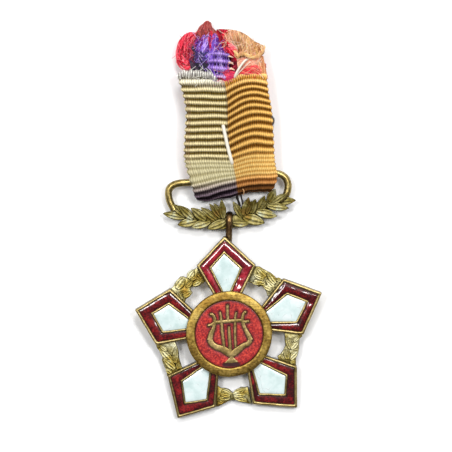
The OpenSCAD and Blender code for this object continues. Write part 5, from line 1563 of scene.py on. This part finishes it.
def makeStrayFibres():
    # name, material, slot, how many, seed, tint, and places (pixel x, pixel y, height, spread in mm)
    strewn = (("red", redThreads, "red_silk", 90, 51, 0.5, [(185, 40, 2.5, 0.3), (182, 52, 2.4, 0.2),
        (187, 63, 2.3, 0.3), (208, 33, 2.1, 0.4), (228, 47, 3.1, 0.4), (250, 70, 3.25, 0.7), (193, 52, 2.7, 0.4)]),
        ("violet", violetThreads, "violet_silk", 130, 52, 0.75, [(202, 44, 3.1, 0.6), (206, 50, 3.3, 0.8),
        (214, 46, 3.3, 0.8), (219, 60, 3.4, 0.6), (199, 58, 3.0, 0.6), (217, 76, 3.3, 0.5)]),
        ("peach", peachThreads, "gold_silk", 170, 53, 0.75, [(228, 38, 3.1, 0.5), (234, 37, 2.9, 0.7),
        (246, 50, 3.3, 0.9), (250, 65, 3.2, 1.2), (259, 62, 3.0, 0.5), (258, 50, 2.9, 0.6), (226, 43, 3.2, 0.4)]),
        ("pink", pinkThreads, "red_silk", 110, 55, 0.5, [(224, 75, 3.3, 0.35), (229, 73, 3.4, 0.35),
        (227, 80, 3.3, 0.35), (193, 46, 2.7, 0.35), (192.5, 54, 2.7, 0.3), (211, 40, 3.3, 0.3)]),
        ("pale", paleThreads, "ribbed_silk", 50, 54, 0.8, [(188, 75, 3.3, 0.5), (200, 75, 3.4, 0.7),
        (210, 76, 3.4, 0.5)]))
    for name, material, slot, count, seed, tint, places in strewn:
        threadPiece(name + "Fuzz", fuzz(places, count, strayFibres["length"], strayFibres["radius"], seed, tint),
            material)


# Pale thread ends at the ends of the violet ribs.
def makeThreadEnds():
    rng = np.random.default_rng(61)
    ticks = []
    for px, py in [(230.0, 57.2), (230.4, 63.4), (231.4, 69.2)]:
        for k in range(5):
            shift = rng.uniform(-0.7, 0.7)
            ends = [(px - 2.0 + rng.uniform(-0.6, 0.6), py + shift, 3.3), (px, py - 0.3 + shift, 3.4),
                (px + 2.4 + rng.uniform(-0.8, 0.8), py + 0.8 + shift, 3.15)]
            ticks.append((photoPath(ends, 3), 0.032, rng.uniform(0.45, 0.95)))
    threadPiece("paleThreadEnds", ticks, peachThreads)


for make in (makeFoldCores, makePeak, makeViolet, makeVioletRibs, makeShadePocket, makeRedFolds, makeGold, makeGoldEdge,
        makeFringe, makeWarpLoops, makeStrayFibres, makeThreadEnds):
    make()
print("frayed end made")


# Sewing threads
def makeThreads():
    stitch = photoPath([(223.2, 126.0, 3.1), (223.8, 129, 3.42), (227.5, 146, 3.36), (231.2, 160, 3.2),
        (232.2, 163.6, 2.9)], 6)
    upper = photoPath([(234.6, 77.5, 3.3), (236, 74, 3.5), (240.5, 66.5, 3.6), (244.5, 61.5, 3.55), (247, 60, 3.2)],
        6)
    second = photoPath([(236.5, 76, 3.4), (241, 71, 3.5), (246, 66, 3.5), (250, 62.5, 3.4)], 6)
    threadPiece("whiteStitches", [(stitch, 0.19, 0.8), (upper, 0.12, 0.85),
        (upper + np.array([0.13, 0.02, -0.06]), 0.05, 0.6), (second, 0.045, 0.7)], whiteThread,
        sides=12)
    strands = [photoPath(path, 5) for path in ([(236.0, 192, 1.6), (237.4, 198, 1.5), (240.0, 206, 1.4)],
        [(240.4, 193, 1.5), (241.6, 198, 1.5), (243.2, 206, 1.4)], [(242.6, 189, 2.6), (244.0, 191.5, 2.9),
        (243.4, 195, 2.6)])]
    # painted shadow: two sewing threads drawn dark where they hang in shade below the ribbon
    threadPiece("darkStrands", [(strands[0], 0.13, 0.3), (strands[1], 0.09, 0.5)], shadowedCottonThreads,
        sides=8)
    threadPiece("looseFibre", [(strands[2], 0.03, 0.6)], goldThreads)


makeThreads()
print("threads made, ribbon length in mm:", round(ribbonLength, 1))


# The safety pin behind the ribbon: coil, two legs and a folded cap.
pin = {"coilX": 4.435, "y": 11.13, "coilR": 0.46, "wire": 0.45, "slimmer": 0.94, "capX": -4.58,
    "cap": (1.5, 1.5, 0.94), "lowZ": 0.225, "highZ": 0.695, "turns": 1.5, "coilSteps": 60, "legSteps": 16}


def makePin():
    r = pin["wire"] / 2 * pin["slimmer"]
    angles = np.linspace(-np.pi / 2, -np.pi / 2 + 2 * np.pi * pin["turns"], pin["coilSteps"])
    heights = np.linspace(pin["lowZ"], pin["highZ"], pin["coilSteps"])
    coil = np.column_stack([pin["coilX"] + pin["coilR"] * np.cos(angles), pin["y"] + pin["coilR"] * np.sin(angles),
        heights])
    legEnd = pin["capX"] + 1.0
    places = np.linspace(legEnd, pin["coilX"] - 0.2, pin["legSteps"])
    first = np.array([(x, pin["y"] - pin["coilR"], pin["lowZ"]) for x in places])
    last = np.array([(x, pin["y"] + pin["coilR"], pin["highZ"]) for x in np.linspace(pin["coilX"] - 0.2, legEnd,
        pin["legSteps"])])
    wire = tube(np.vstack([first, coil, last]), r, r, 14)
    length, width, height = pin["cap"]
    corners = [(0, -width / 2), (length, -width / 2 * 0.92), (length, width / 2 * 0.92), (0, width / 2)]
    outline = roundedOutline(np.array(corners) + [pin["capX"], pin["y"]], 0.42, 6, 8)
    steps = [(0.12, 0.0), (0.03, 0.05), (0.0, 0.16), (0.0, height - 0.2), (0.05, height - 0.08),
        (0.14, height - 0.02), (0.3, height)]
    middle = outline.mean(0)
    rings = [atHeight(middle + (outline - middle) * (1 - by / 0.75), z) for by, z in steps]
    makePiece("safetyPin", joined([wire, loft(np.array(rings))]), pinSteel, ["safety_pin"], 50)


makePin()
print("safety pin made")


# Floor and lights
studio = {
    "floorSize": 3.0, "floorDrop": 0.00002, "skyBack": 0.85, "skyFront": 0.12,
    "lamps": {  # place, size and strength
        "upperLeftLight": ((-0.22, 0.1, 0.6), 0.14, 25), "upperRightLight": ((0.22, 0.1, 0.6), 0.14, 25),
        "topLight": ((0.03, 0.3, 0.5), 0.12, 23)},
}


def areaLight(name, place, size, strength):
    data = bpy.data.lights.new(name, "AREA")
    data.size = size
    data.energy = strength * math.pi * size * size
    light = addObject(name, data)
    light.location = place
    light.rotation_euler = (-Vector(place)).to_track_quat("-Z", "Y").to_euler()  # every lamp aims at the origin


def makeStudio():
    half = studio["floorSize"] / 2
    mesh = bpy.data.meshes.new("floor")
    mesh.from_pydata([(-half, -half, 0), (half, -half, 0), (half, half, 0), (-half, half, 0)], [], [(0, 1, 2, 3)])
    floor = addObject("floor", mesh)
    floor.location.z = -studio["floorDrop"]
    material, tree, shader, place = startMaterial("white card", Roughness=0.9)
    grain = addNode(tree, "TexNoise", {"Vector": place, "Scale": perMm(4), "Detail": 3.0})
    tone = addNode(tree, "ValToRGB", {0: grain}, [(0.3, "#f9f9f9"), (0.7, "#fdfdfd")])
    setInputs(tree, shader, {"Base Color": tone})
    mesh.materials.append(material)
    world = bpy.data.worlds.new("soft room")
    bpy.context.scene.world = world
    world.use_nodes = True
    tree = world.node_tree
    direction = addNode(tree, "TexCoord").outputs["Generated"]
    height = addNode(tree, "SeparateXYZ", {0: direction})
    glow = addNode(tree, "MapRange", {"Value": height.outputs["Y"], "From Min": -0.3, "From Max": 0.6,
        "To Min": studio["skyFront"], "To Max": studio["skyBack"]})
    setInputs(tree, tree.nodes["Background"], {"Color": hexColour("#ffffff"), "Strength": glow})
    for name, (place, size, strength) in studio["lamps"].items():
        areaLight(name, place, size, strength)
    bpy.context.scene.view_settings.view_transform = "Standard"


makeStudio()
print("studio made")
